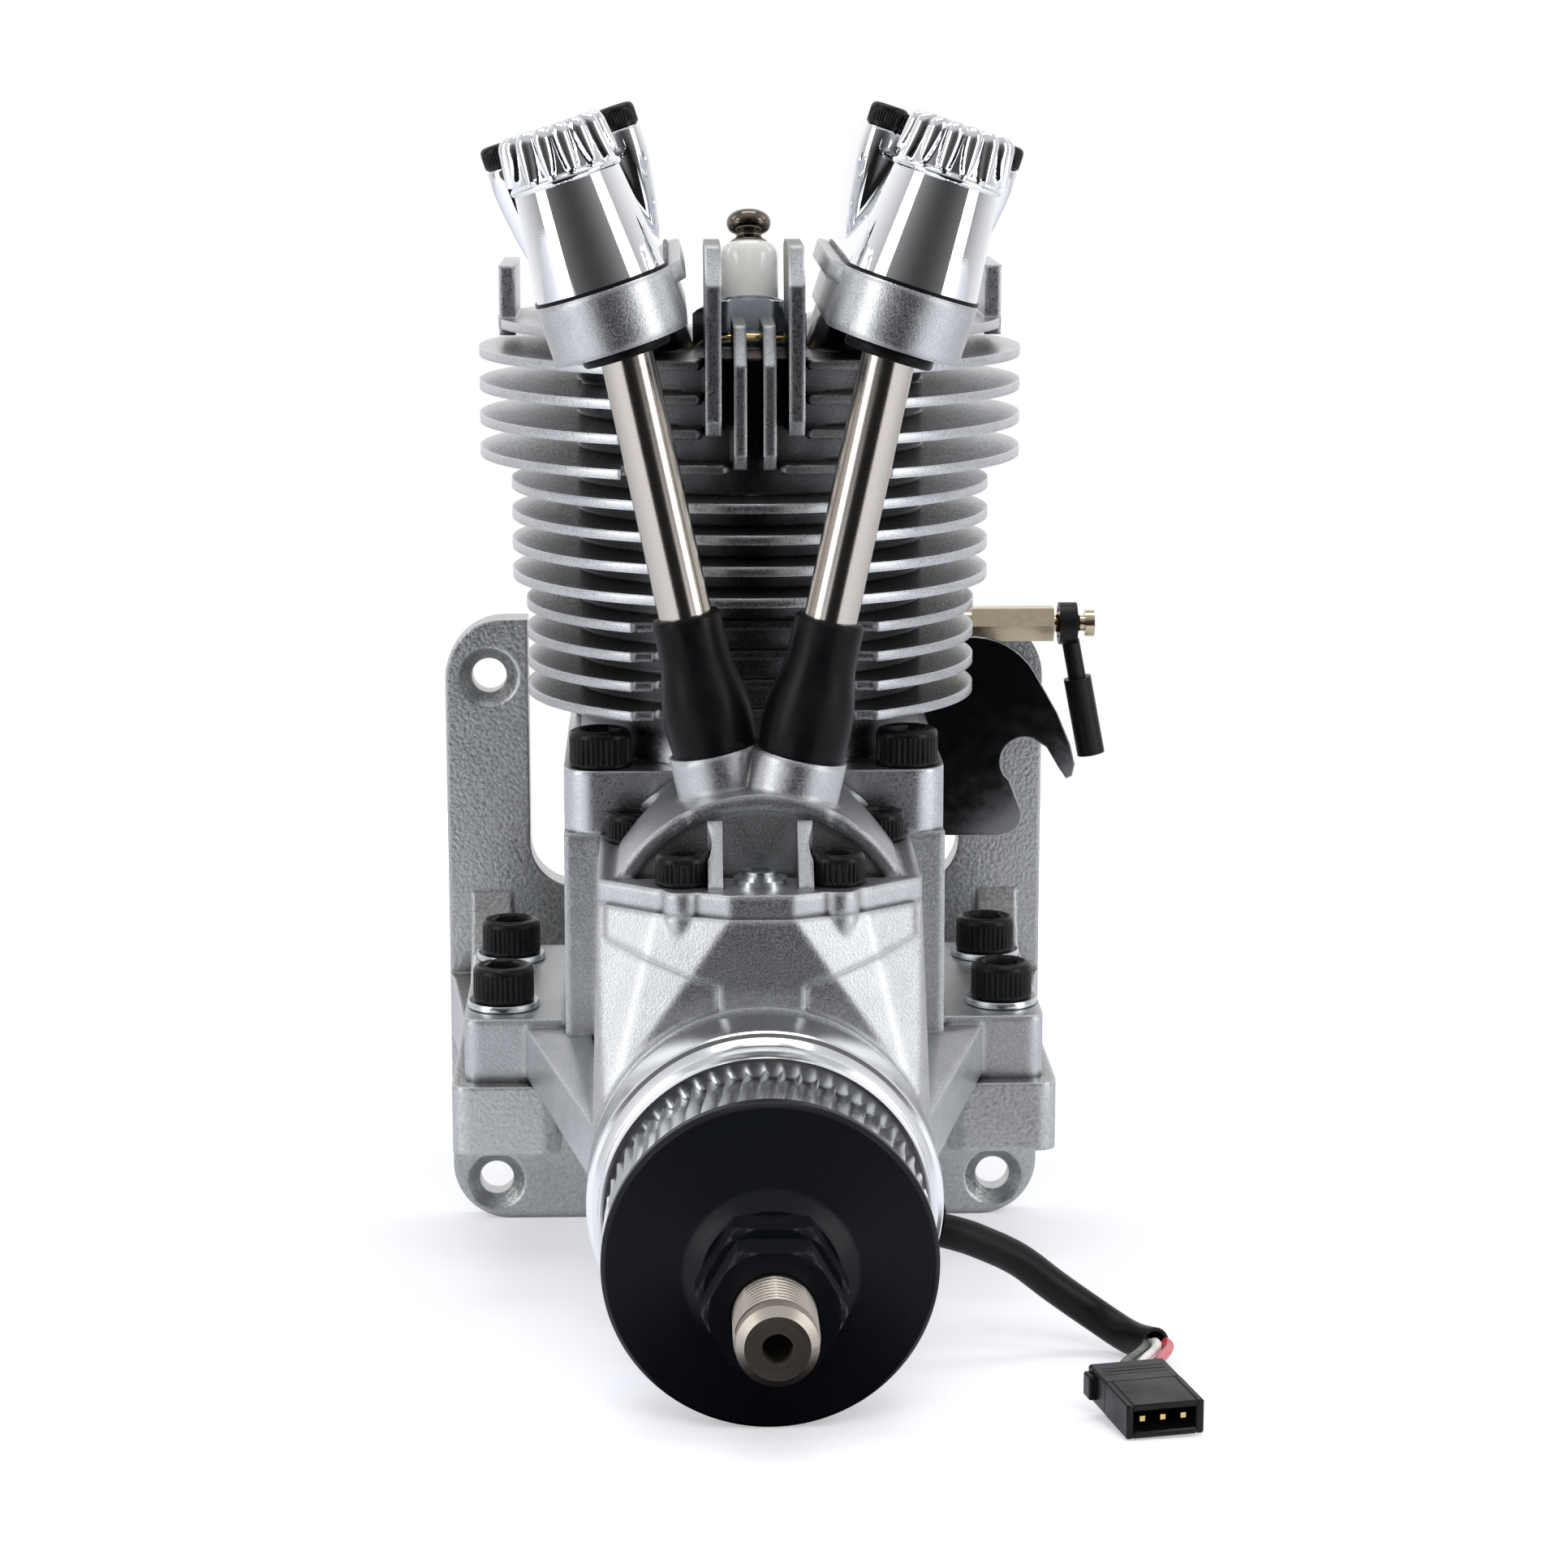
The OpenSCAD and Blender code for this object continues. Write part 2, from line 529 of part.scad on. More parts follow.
module cover_gaskets() color([0.05, 0.05, 0.05]) engine() both() box_frame() translate([0, 0, rim_top])
    linear_extrude(gasket_t) difference() {
        stadium(box_r, box_front, box_back);
        stadium(box_r - 1.8, box_front, box_back);
    }

cover_screw_x = 8.7;
cover_screw_y = -20;
cover_seat = cover_z + 17.3;    // of the two cap screws beside the cover
cover_top_r = box_r - 2.6;
ridge_z = cover_z + 13.9;
ridge_r = box_r - 1.84;
// Rounded block that narrows from radius r0 at z0 to r1 at z1
module taper(r0, z0, r1, z1, $fn = 40) hull() {
    translate([0, 0, z0]) linear_extrude(eps) stadium(r0, box_front, box_back);
    translate([0, 0, z1 - eps]) linear_extrude(eps) stadium(r1, box_front + 0.6, box_back - 0.6);
}
module rocker_cover(s) color([0.9, 0.9, 0.92]) engine() on_side(s) box_frame() difference() {
    union() {
        taper(box_r - 0.3, cover_z, cover_top_r, cover_top - 1.6);
        taper(cover_top_r, cover_top - 1.7, cover_top_r - 1.2, cover_top);
        translate([0, 0, ridge_z]) linear_extrude(0.5) stadium(ridge_r + 0.4, box_front, box_back);
        for (x = [-1, 1]) translate([x * cover_screw_x, cover_screw_y, 0]) {
            translate([0, 0, cover_seat - 6]) cylinder(r = 2.6, h = 6, $fn = 32);
            translate([-x * 2.2, 0, cover_seat - 13]) cylinder(r1 = 0.4, r2 = 2.4, h = 8, $fn = 24);
        }
        // Pointed ribs that hang from the top edge
        for (k = [-3:3]) translate([0, box_front + 0.6, cover_top - 1.7]) rotate(k * 25)
            translate([0, -cover_top_r + 0.5, 0]) rotate([-7, 0, 0]) {
                translate([0, 0, abs(k % 2) * 1.5 - 6])
                    cylinder(r1 = 0.2, r2 = 0.95, h = 6 - abs(k % 2) * 1.5, $fn = 16);
                sphere(r = 1.05, $fn = 16);
            }
    }
    taper(box_r - 1.5, cover_z - 1, cover_top_r - 1.2, cover_top - 2);
    for (x = [-cover_screw_x, cover_screw_x]) translate([x, cover_screw_y, cover_seat]) {
        translate([0, 0, -5]) cylinder(r = 1.55, h = 6);
        cylinder(r = 2.9, h = 6);
    }
}

module cover_screws() color([0.08, 0.08, 0.08]) engine() both() box_frame()
    for (x = [-cover_screw_x, cover_screw_x]) translate([x, cover_screw_y, cover_seat])
        cap_screw([2.75, 3], 1.5, 4.5);

module pushrod_tubes() color([0.75, 0.73, 0.7]) engine() for (s = [-1, 1]) on_side(s)
    push_frame(push_y[s > 0 ? 1 : 0]) translate([0, 0, 32]) difference() {
        cylinder(r = tube_d / 2, h = push_at(box_low + 2) - 32);
        translate([0, 0, -1]) cylinder(r = tube_d / 2 - 0.7, h = 60);
    }

// Rubber boots at the foot of the tubes and seals under the rocker boxes
module tube_boots() color([0.06, 0.06, 0.06]) engine() for (s = [-1, 1]) on_side(s) {
    push_frame(push_y[s > 0 ? 1 : 0]) translate([0, 0, 26]) rotate_extrude()
        polygon([[tube_d / 2 + 0.02, 6], [tube_d / 2 - 0.6, 6],
        [tube_d / 2 - 0.6, 0], [5.6, 0], [5.9, 3], [5.7, 7], [5.2, 9.5], [4.7, 11.5], [4.6, 18.2],
        [tube_d / 2 + 0.02, 18.2]]);
    difference() {
        box_frame() translate([-0.3, push_y[s > 0 ? 1 : 0], box_low - 1.5]) cylinder(r = 5.9, h = 1.48);
        push_frame(push_y[s > 0 ? 1 : 0]) translate([0, 0, 60]) cylinder(r = tube_d / 2 + 0.02, h = 30);
    }
}

module rocker_shafts() color([0.6, 0.6, 0.62]) engine() both() box_frame()
    translate([0, pivot_y, pivot_z]) xcyl(shaft_r, -shaft_end, 2 * shaft_end);

module plug_frame() engine() plug_axis() children();
module plug_shell() color([0.35, 0.36, 0.38]) plug_frame() difference() {
    union() {
        cylinder(r = plug_seat_r, h = 1.2);
        translate([0, 0, 1.2]) cylinder(r = 14 / sqrt(3), h = 5, $fn = 6);
        translate([0, 0, 6.2]) cylinder(r = 5.6, h = 0.8);
        translate([0, 0, -12]) cylinder(r = plug_thread_r, h = 12.1);
    }
    translate([0, 0, -13]) cylinder(r = 2.6, h = 30);
}
module plug_insulator() color("white") plug_frame() difference() {
    union() {
        translate([0, 0, -12]) cylinder(r = 2.6, h = 20);
        translate([0, 0, 7]) cylinder(r = 4.05, h = 7.4);
        translate([0, 0, 14.4 - eps]) cylinder(r1 = 4.05, r2 = 3, h = 1.2);
    }
    translate([0, 0, 12.2]) cylinder(r = 1.5, h = 10);
}
module plug_terminal() color([0.2, 0.19, 0.17]) plug_frame() translate([0, 0, 15.6]) {
    translate([0, 0, -3]) cylinder(r = 1.5, h = 4);
    rotate_extrude() polygon([[0, 0], [2.7, 0], [2.2, 0.4], [1.7, 1], [2.4, 1.6], [3, 2.3], [3.1, 3.1],
        [2.8, 3.9], [1.8, 4.6], [0, 4.8]]);
}

module ring(y, w, r0, r1) difference() {
    ycyl(r1, y, w);
    ycyl(r0, y - 1, w + 2);
}
// Outer races and balls of the two crankshaft bearings
module main_bearings() color([0.65, 0.66, 0.68]) engine() for (b = [rear_bearing, front_bearing]) {
    mid = (b[2] + b[3]) / 2;
    ball = (b[3] - b[2]) / 4 - 0.05;
    ring(b[0], b[1], b[3] - 1.7, b[3]);
    for (a = [0:45:315]) rotate([0, a, 0]) translate([mid, b[0] + b[1] / 2, 0])
        sphere(r = ball, $fn = 24);
}
module inner_races() color([0.65, 0.66, 0.68]) engine() for (b = [rear_bearing, front_bearing])
    ring(b[0], b[1], b[2], b[2] + 1.8);

module carburettor_body() color([0.7, 0.7, 0.72]) engine() difference() {
    union() {
        block([-12, 14], [half + 4.2, half + 20], [carb_low, carb_top], 3);
        translate([0, carb_y, throttle_z]) xcyl(3.6, 13, 15.5);
        for (z = needle_z) translate([0, carb_y + 4.5, z]) xcyl(2.6, 13, 4);
    }
    translate([0, carb_y, 0]) cylinder(r = throat_d / 2, h = 100);
    translate([0, carb_y, throttle_z]) xcyl(1.5 + fit, -20, 60);
    for (z = needle_z) translate([0, carb_y + 4.5, z]) xcyl(1.1, 8, 15);
}
module air_horn() color([0.25, 0.25, 0.27]) engine() difference() {
    union() {
        block([-11, 11], [half + 4.5, half + 20], [horn_z - 10, carb_low], 3);
        translate([0, 0, horn_z]) ycyl(horn_r + 0.9, half + 19, 17);
        translate([0, half + 33, horn_z]) rotate([-90, 0, 0]) cylinder(r1 = horn_r + 0.9, r2 = 12.4, h = 3);
    }
    translate([0, 0, horn_z]) ycyl(throat_d / 2, carb_y, 20);
    translate([0, 0, horn_z]) ycyl(horn_r, half + 20, 20);
    translate([0, carb_y, horn_z]) cylinder(r = throat_d / 2, h = 40);
}
// Intake pipe: up from the carburettor, across behind the fins, and forward into the left port
manifold_r = 4.5;
manifold_foot = [0, carb_y + 1.7, carb_top + 8.5];
manifold_knee = [-port_x, standoff - manifold_r - 0.2, port_z];
module pipe_run(r) {
    span = manifold_knee - manifold_foot;
    translate([-port_x, 0, port_z]) ycyl(r, port_face - eps, manifold_knee[1] - port_face + eps);
    for (p = [manifold_foot, manifold_knee]) translate(p) sphere(r = r + 0.25);
    translate(manifold_foot) rotate([0, acos(span[2] / norm(span)), atan2(span[1], span[0])])
        cylinder(r = r, h = norm(span));
    translate([manifold_foot[0], manifold_foot[1], carb_top - eps])
        cylinder(r = r, h = manifold_foot[2] - carb_top + eps);
}
module intake_manifold() color([0.7, 0.7, 0.72]) engine() difference() {
    union() {
        block([-11, 11], [half + 5, half + 19], [carb_top, carb_top + 3], 3);
        pipe_run(manifold_r);
        translate([-port_x, 0, port_z]) ycyl(8, port_face, 2.5);
    }
    pipe_run(manifold_r - 1.2);
}
module pump_cover() color([0.75, 0.75, 0.77]) engine() difference() {
    translate([-12, half + 12, (carb_low + carb_top) / 2]) rotate([0, -90, 0])
        linear_extrude(3.2) round_rect(23, 14.6, 3);
    translate([0, carb_y, throttle_z]) xcyl(2, -20, 60);
}
module mixture_needles() color([0.75, 0.6, 0.25]) engine() for (z = needle_z)
    translate([0, carb_y + 4.5, z]) {
        xcyl(1.1, 9, 12);
        difference() {
            xcyl(1.9, 17, 4);
            translate([20, -0.3, -3]) cube([2, 0.6, 6]);
        }
    }

// Hooked linkage bracket behind the crankcase, cut from sheet
module linkage_bracket() color([0.3, 0.3, 0.32]) engine()
    translate([0, half + bracket_t, half]) rotate([90, 0, 0])
    linear_extrude(bracket_t) difference() {
        union() {
            polygon(concat([[8, 0.5], [8, 9], [24, 9], [24, 24], [29, 27.5]],
                [for (a = [95:-8:30]) [33.6 + 11 * cos(a), 17.6 + 11 * sin(a)]],
                [[46.6, 17], [48.6, 12.2], [49.3, 9.2], [48.9, 7.4], [48, 7], [46.9, 8.6], [45, 11.8]],
                [for (a = [70:18:232]) [41.8 + 3.7 * cos(a), 9.6 + 3.7 * sin(a)]],
                [for (a = [20:-22:-90]) [38.4 + 3 * cos(a), 1.4 + 3 * sin(a)]],
                [[30, -1.6], [26.5, -1.6], [25, 0.5]]));
        }
        for (x = bracket_screws) translate([x, bracket_screw_z - half]) circle(1.6, $fn = 24);
    }

// Hall sensor carrier on the front of the nose, behind the driver
module ignition_sensor() color([0.06, 0.06, 0.06]) engine() difference() {
    union() {
        intersection() {
            ring(-nose_len - 3, 3, 17, nose_r + 1.8);
            rotate([0, 10, 0]) translate([-8, -80, -30]) cube([38, 60, 30]);
        }
        translate([17.5, -nose_len - 2.9, -10.5]) cube([5, 2.8, 6.5]);
    }
    ycyl(17, -nose_len - 5, 8);
}

module nose_front() translate([0, -nose_len, 0]) children();
sleeve_points = [[22.5, -1.4, -7.2], [25, -1, -8], [27.8, 0, -9.3], [33, 2, -12.4], [38.2, 3.5, -16.8],
    [43.4, 3.5, -20.6], [47.6, 0, -22.5], [50.2, -4.5, -21.9]];
module sensor_sleeve() color([0.05, 0.05, 0.05]) engine() nose_front()
    sweep(smooth(sleeve_points, 3), sleeve_r, 10);

// Middle wire, with the step across to the wires on both sides of it
wire_points = [[50.2, -4.6, -21.6, 1.45, 0], [50, -8, -20.8, 1.5, 0], [48.8, -14, -19.4, 1.7, 0.1],
    [46.6, -22, -17.6, 2, 0.2], [45.1, -28, -16.4, 2.4, 0.4], [43.3, -30.9, -15.9, 2.48, 0.53]];
connector_yaw = 12;
connector_lift = 8.1;          // of its front end above the table
connector_at = [46.2, -45.2, -18.7];
connector_len = 14.6;
module connector_frame() engine() nose_front() translate(connector_at) rotate([0, 0, connector_yaw])
    rotate([connector_lift - atan(floor_slope), 0, 0]) children();
module sensor_wires() color("red") engine() nose_front() for (i = [-1:1])
    sweep(smooth([for (p = wire_points) [p[0] + p[3] * i, p[1] + p[4] * i, p[2]]], 3), wire_r, 8);
module connector_shell() color([0.05, 0.05, 0.05]) connector_frame() difference() {
    union() {
        translate([-4.8, 0, 0]) cube([9.6, connector_len, 4.2]);
        translate([-5.6, connector_len - 3, 0.6]) cube([1.2, 2.4, 3]);
    }
    translate([-3.9, -1, 0.8]) cube([7.8, 9, 2.6]);
}
module connector_pins() color([0.8, 0.65, 0.2]) connector_frame()
    for (x = [-2.54, 0, 2.54]) translate([x - 0.32, 1, 1.78]) cube([0.64, 7.2, 0.64]);

module crankshaft() color([0.6, 0.58, 0.55]) engine() difference() {
    union() {
        intersection() {
            ycyl(web_r, web_front, web_rear - web_front);
            rotate([90, 0, 0]) linear_extrude(60, center = true) union() {
                circle(12.5);
                polygon([[-7.5, throw + 7.5], [7.5, throw + 7.5], [12, 0], [30, -4], [30, -30], [-30, -30],
                    [-30, -4], [-12, 0]]);
            }
        }
        ycyl(rear_bearing[2] + 1.6, -rear_bearing[1] - 6 + 0.5, 3);
        ycyl(rear_bearing[2], -33, 20);
        ycyl(front_bearing[2], -nose_len - 18, nose_len - 14);
        ycyl(thread_d / 2 - fit, -shaft_tip + 1 + thread_free + 0.8, shaft_tip - nose_len - 15 - thread_free);
        ycyl(thread_d / 2 - 0.7, -shaft_tip + 1, thread_free + 2);
        ycyl(thread_d / 2, -shaft_tip + 1, thread_free);
        translate([0, -shaft_tip + 1 + eps, 0]) rotate([90, 0, 0])
            cylinder(r1 = thread_d / 2, r2 = thread_d / 2 - 1, h = 1);
    }
    ycyl(spinner_d / 2, -shaft_tip - 1, 13);
}
module crank_pinion() color([0.5, 0.5, 0.52]) engine() translate([0, gear_y + gear_w, 0]) rotate([90, 0, 0])
    linear_extrude(gear_w) difference() {
        rotate(90) gear(pinion_teeth);
        circle(front_bearing[2]);
    }

// Driver: rear rim, step, bright ring and the sharp ridges that grip the propeller
module prop_driver() color([0.85, 0.86, 0.88]) engine() difference() {
    union() {
        translate([0, -nose_len - 3.6, 0]) rotate([90, 0, 0]) rotate_extrude() polygon([[front_bearing[2], 0],
            [driver_r - 1, 0], [driver_r, 1], [driver_r, 9.4], [driver_r - 1.2, 10.6], [driver_r - 1.7, 13],
            [driver_r - 1.7, 15.4], [driver_r - 3.6, 15.4], [driver_r - 3.6, 31.6],
            [front_bearing[2], 31.6]]);
        ycyl(9, -nose_len - 3.7, 4.5);
        translate([0, -nose_len - 19, 0]) rotate([90, 0, 0]) linear_extrude(16.2)
            polygon([for (i = [0:2 * ridges - 1])
            turn([i % 2 == 0 ? 19.9 : 18.9, 0], i * 180 / ridges)]);
    }
    ycyl(front_bearing[2], -nose_len - 18.5, 30);
    ycyl(thread_d / 2, -nose_len - 54, 40);
}
module prop_washer() color([0.05, 0.05, 0.06]) engine() difference() {
    translate([0, -nose_len - 35.3, 0]) rotate([90, 0, 0]) rotate_extrude()
        polygon([[thread_d / 2, 0], [washer_r, 0],
        [washer_r, 1.6], [washer_r - 0.6, 2.2], [10, 4.6], [9.5, 6.5], [thread_d / 2, 6.5]]);
}
module hex_nut(y, af, w) translate([0, y, 0]) rotate([90, 0, 0]) difference() {
    intersection() {
        rotate(30) cylinder(r = af / sqrt(3), h = w, $fn = 6);
        translate([0, 0, -eps]) cylinder(r1 = af / 2 + 1.2, r2 = af / 2 - 0.2, h = w + 0.6);
    }
    translate([0, 0, -1]) cylinder(r = thread_d / 2, h = w + 2);
}
module prop_nut() color([0.05, 0.05, 0.06]) engine() hex_nut(-nose_len - 41.8, nut_af + 1, 5.6);
module lock_nut() color([0.05, 0.05, 0.06]) engine() {
    hex_nut(-nose_len - 49.2, nut_af, 5.5);
    ring(-nose_len - 49.3, 1.9, thread_d / 2, 6.4);
}

module lobe(y, a) rotate([0, a, 0]) translate([0, y + lobe_w / 2, 0]) rotate([90, 0, 0])
    linear_extrude(lobe_w)
    hull($fn = 48) {
        circle(cam_base_r);
        translate([0, cam_lift + cam_base_r - 2.4]) circle(2.4);
    }
module camshaft() color([0.55, 0.55, 0.57]) engine() translate([0, 0, cam_z]) {
    ycyl(cam_shaft_r, cam_front + 1.3, cam_rear - cam_front - 1.6);
    lobe(push_y[0], 205);
    lobe(push_y[1], 140);
}
module cam_gear() color([0.5, 0.5, 0.52]) engine() translate([0, gear_y + gear_w, cam_z]) rotate([90, 0, 0])
    linear_extrude(gear_w) difference() {
        rotate(90 + 180 / (2 * pinion_teeth)) gear(2 * pinion_teeth);
        circle(cam_shaft_r);
        for (a = [0:60:300]) rotate(a) translate([10, 0]) circle(2.6);
    }

module piston() color([0.75, 0.75, 0.76]) engine() difference() {
    translate([0, 0, skirt_z]) cylinder(r = bore_r - fit, h = crown_z - skirt_z);
    difference() {
        translate([0, 0, skirt_z - 1]) cylinder(r = bore_r - 2.6, h = crown_z - skirt_z - 3);
        for (s = [-1, 1]) translate([0, s * 12.6, pin_z]) rotate([90, 0, 0])
            translate([0, 0, -5]) cylinder(r = pin_r + 2.5, h = 10);
    }
    translate([0, 0, pin_z]) ycyl(pin_r, -16.5, 33);
    translate([0, 0, crown_z - 4.6]) difference() {
        cylinder(r = bore_r + 1, h = 1.6);
        translate([0, 0, -1]) cylinder(r = bore_r - 1.7, h = 4);
    }
}
module piston_ring() color([0.4, 0.4, 0.4]) engine() translate([0, 0, crown_z - 4.6]) difference() {
    cylinder(r = bore_r - 0.02, h = 1.6);
    translate([0, 0, -1]) cylinder(r = bore_r - 1.7, h = 4);
    translate([bore_r - 3, -0.3, -1]) cube([4, 0.6, 4]);
}
module wrist_pin() color([0.6, 0.6, 0.62]) engine() translate([0, 0, pin_z]) ring(-16.5, 33, 2.4, pin_r);
module crank_pin() color([0.6, 0.6, 0.62]) engine()
    translate([0, 0, throw]) ring(web_rear + 0.4, 8, 1.5, pin_r);
module connecting_rod() color([0.55, 0.55, 0.57]) engine() difference() {
    union() {
        translate([0, 0, throw]) ycyl(big_end_r, -3.5, 7);
        translate([0, 0, pin_z]) ycyl(6.6, -3.5, 7);
        translate([-3.4, -2.4, throw]) cube([6.8, 4.8, rod_len]);
    }
    translate([0, 0, throw]) ycyl(pin_r, -5, 10);
    translate([0, 0, pin_z]) ycyl(pin_r, -5, 10);
    for (y = [-3.4, 1.4]) translate([-1.8, y, throw + big_end_r + 1.5])
        cube([3.6, 2, rod_len - big_end_r - 6.6 - 3]);
}

module pushrod(s) color([0.6, 0.6, 0.62]) engine() on_side(s) push_frame(push_y[s > 0 ? 1 : 0]) {
    translate([0, 0, tappet_foot]) difference() {
        cylinder(r = tappet_r, h = 13);
        translate([0, 0, 9]) cylinder(r = 1.6, h = 5);
    }
    translate([0, 0, tappet_foot + 9.02]) cylinder(r = 1.5, h = push_top() - tappet_foot - 10.52);
    translate([0, 0, push_top() - 1.5]) sphere(r = 1.5, $fn = 24);
}
pad_gap = 0.5;                 // between the rocker's rear pad and the valve tip
rocker_pad = 9.6;              // underside of the rocker's front pad above the box reference plane
// Distance along the pushrod at which it crosses a height in the rocker box
function push_at(z) =
    (z + box_x * sin(box_lean) + (box_z - cam_z) * cos(box_lean)) / cos(box_lean - push_lean);
function push_top() = push_at(rocker_pad - gap);
module rocker(s) color([0.5, 0.5, 0.52]) engine() on_side(s) box_frame() translate([0, pivot_y, pivot_z]) {
    front = push_y[s > 0 ? 1 : 0] - pivot_y;
    difference() {
        union() {
            xcyl(rocker_r, -4.3, 8.6);
            translate([-3, 0, 0]) rotate([90, 0, 90]) linear_extrude(6) polygon([[0, rocker_r],
                [front + 1, rocker_pad + 4.5 - pivot_z], [front - 2.2, rocker_pad + 3.2 - pivot_z],
                [front - 2.2, rocker_pad - pivot_z], [front + 3.5, rocker_pad - pivot_z], [0, -rocker_r]]);
            translate([-3, 0, 0]) rotate([90, 0, 90]) linear_extrude(6) polygon([[0, rocker_r],
                [-pivot_y + 1, 5], [-pivot_y + 2.8, 3.6], [-pivot_y + 2.8, tip_z + pad_gap - pivot_z],
                [-pivot_y - 2.8, tip_z + pad_gap - pivot_z], [0, -rocker_r + 1]]);
        }
        xcyl(shaft_r + fit, -6, 12);
    }
}
module valve(s) color([0.5, 0.48, 0.45]) engine() on_side(s) box_frame() {
    rotate_extrude() polygon([[0, seat_z - 1.6], [valve_r, seat_z - 1.6], [valve_r, seat_z - 0.6],
        [valve_r - 1.6, seat_z + 0.6], [stem_d / 2 + 0.6, seat_z + 2.4], [stem_d / 2, seat_z + 4.6],
        [stem_d / 2, tip_z], [0, tip_z]]);
    translate([0, 0, tip_z - 4.4]) difference() {
        cylinder(r = spring_r + 0.8, h = 2.2);
        translate([0, 0, -1]) cylinder(r = stem_d / 2 + 0.02, h = 5);
    }
}
spring_low = box_low + 2.5;
spring_turns = 4.5;
module valve_spring(s) color([0.6, 0.6, 0.62]) engine() on_side(s) box_frame()
    sweep([for (i = [0:54]) [spring_r * cos(i * 30), spring_r * sin(i * 30),
        spring_low + 0.8 + i / 54 * (tip_z - 4.4 - spring_low - 1.6)]], 0.7, 6);

module throttle_shaft() color([0.65, 0.65, 0.6]) engine() translate([0, carb_y, throttle_z]) {
    xcyl(1.5, -15, arm_x + 15 + arm_t + 0.6);
    rotate([8, 0, 0]) cylinder(r = throat_d / 2 - 0.3, h = 1, center = true);
}
module throttle_arm_plate() color([0.75, 0.62, 0.2]) engine() translate([arm_x, carb_y, throttle_z])
    rotate([90, 0, 90]) linear_extrude(arm_t) difference() {
        hull($fn = 32) {
            circle(3.2);
            translate([0, throttle_arm]) circle(2.9);
        }
        circle(1.5);
        translate([0, throttle_arm]) circle(1.2);
    }
module ball_stud() color([0.75, 0.65, 0.45]) engine() translate([0, carb_y, throttle_z + throttle_arm]) {
    xcyl(2.2, arm_x + arm_t, 1.4);
    translate([arm_x + arm_t + 1.3, 0, 0]) rotate([0, 90, 0]) rotate(30)
        cylinder(r = 5 / sqrt(3), h = ball_x - 2.2 - arm_x - arm_t - 1.3, $fn = 6);
    xcyl(1.2, arm_x, ball_x - arm_x + 3);
    translate([ball_x, 0, 0]) sphere(r = ball_r);
    xcyl(2, ball_x + 2.6, 1.4);
}
module ball_link() color([0.05, 0.05, 0.05]) engine()
    translate([ball_x, carb_y, throttle_z + throttle_arm]) difference() {
    union() {
        xcyl(3.2, -1.35, 2.7);
        rotate([0, -11, 0]) translate([0, 0, -10]) cylinder(r = 1.35, h = 7.4);
        rotate([0, -11, 0]) translate([0, 0, -20.5]) cylinder(r = 2.1, h = 12);
    }
    xcyl(ball_r + fit, -5, 10);
    rotate([0, -11, 0]) translate([0, 0, -21]) cylinder(r = 0.8, h = 9);
}

crankcase();
rear_cover();
case_screws();
engine_mount();
mount_screws();
mount_washers();
cylinder_part();  // cylinder
cylinder_screws();
cam_housing();
oil_plug();
rocker_box(-1);  // rocker_box_left
rocker_box(1);  // rocker_box_right
cover_gaskets();
rocker_cover(-1);  // rocker_cover_left
rocker_cover(1);  // rocker_cover_right
cover_screws();
pushrod_tubes();
tube_boots();
rocker_shafts();
plug_shell();
plug_insulator();
plug_terminal();
main_bearings();
carburettor_body();
air_horn();
intake_manifold();
pump_cover();
mixture_needles();
linkage_bracket();
ignition_sensor();
sensor_sleeve();
sensor_wires();
connector_shell();
connector_pins();
valve_spring(-1);  // valve_spring_left
valve_spring(1);  // valve_spring_right
crankshaft();
crank_pinion();
inner_races();
prop_driver();
prop_washer();
prop_nut();
lock_nut();
camshaft();
cam_gear();
piston();
piston_ring();
wrist_pin();
crank_pin();
connecting_rod();
pushrod(-1);  // pushrod_left
pushrod(1);  // pushrod_right
rocker(-1);  // rocker_left
rocker(1);  // rocker_right
valve(-1);  // valve_left
valve(1);  // valve_right
throttle_shaft();
throttle_arm_plate();
ball_stud();
ball_link();
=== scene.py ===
"""Looks of a single-cylinder four-stroke model aircraft engine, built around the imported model.

Lengths are in millimetres from the cylinder axis until a piece is made, which puts them in metres in
the row frame: crank axis along Y through Z = 0, propeller end to -Y, firewall face at Y = 0.
"""
import json
import math

import bpy
from mathutils import Matrix, Vector


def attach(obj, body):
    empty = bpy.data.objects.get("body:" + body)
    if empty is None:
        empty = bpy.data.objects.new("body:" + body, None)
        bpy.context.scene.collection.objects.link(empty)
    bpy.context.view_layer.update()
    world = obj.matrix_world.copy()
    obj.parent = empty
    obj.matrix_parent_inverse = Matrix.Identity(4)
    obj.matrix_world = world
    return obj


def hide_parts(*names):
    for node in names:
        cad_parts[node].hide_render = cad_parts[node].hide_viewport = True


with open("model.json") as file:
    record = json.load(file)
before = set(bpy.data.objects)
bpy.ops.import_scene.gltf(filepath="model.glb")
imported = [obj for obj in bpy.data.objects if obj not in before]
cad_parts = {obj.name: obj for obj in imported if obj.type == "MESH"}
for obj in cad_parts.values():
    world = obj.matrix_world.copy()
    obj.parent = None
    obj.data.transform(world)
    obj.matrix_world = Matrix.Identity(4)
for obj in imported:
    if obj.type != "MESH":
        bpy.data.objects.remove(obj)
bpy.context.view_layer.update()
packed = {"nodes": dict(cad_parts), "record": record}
NODES = packed["nodes"]
MM = 0.001
STANDOFF = 46.4                 # cylinder axis to firewall
NOSE = 66                       # cylinder axis to the front of the nose
HALF = 26                       # half the width of the crankcase
DECK = 36                       # crank axis to the crankcase deck
FOOT_TOP = 44.7                 # crank axis to the top of the cylinder's foot
TOP_FIN = 103.1                 # crank axis to the top fin
CAM_Z = 25.4                    # crank axis to cam axis
BOX_X, BOX_Z = 18.4, 107        # rocker box reference point
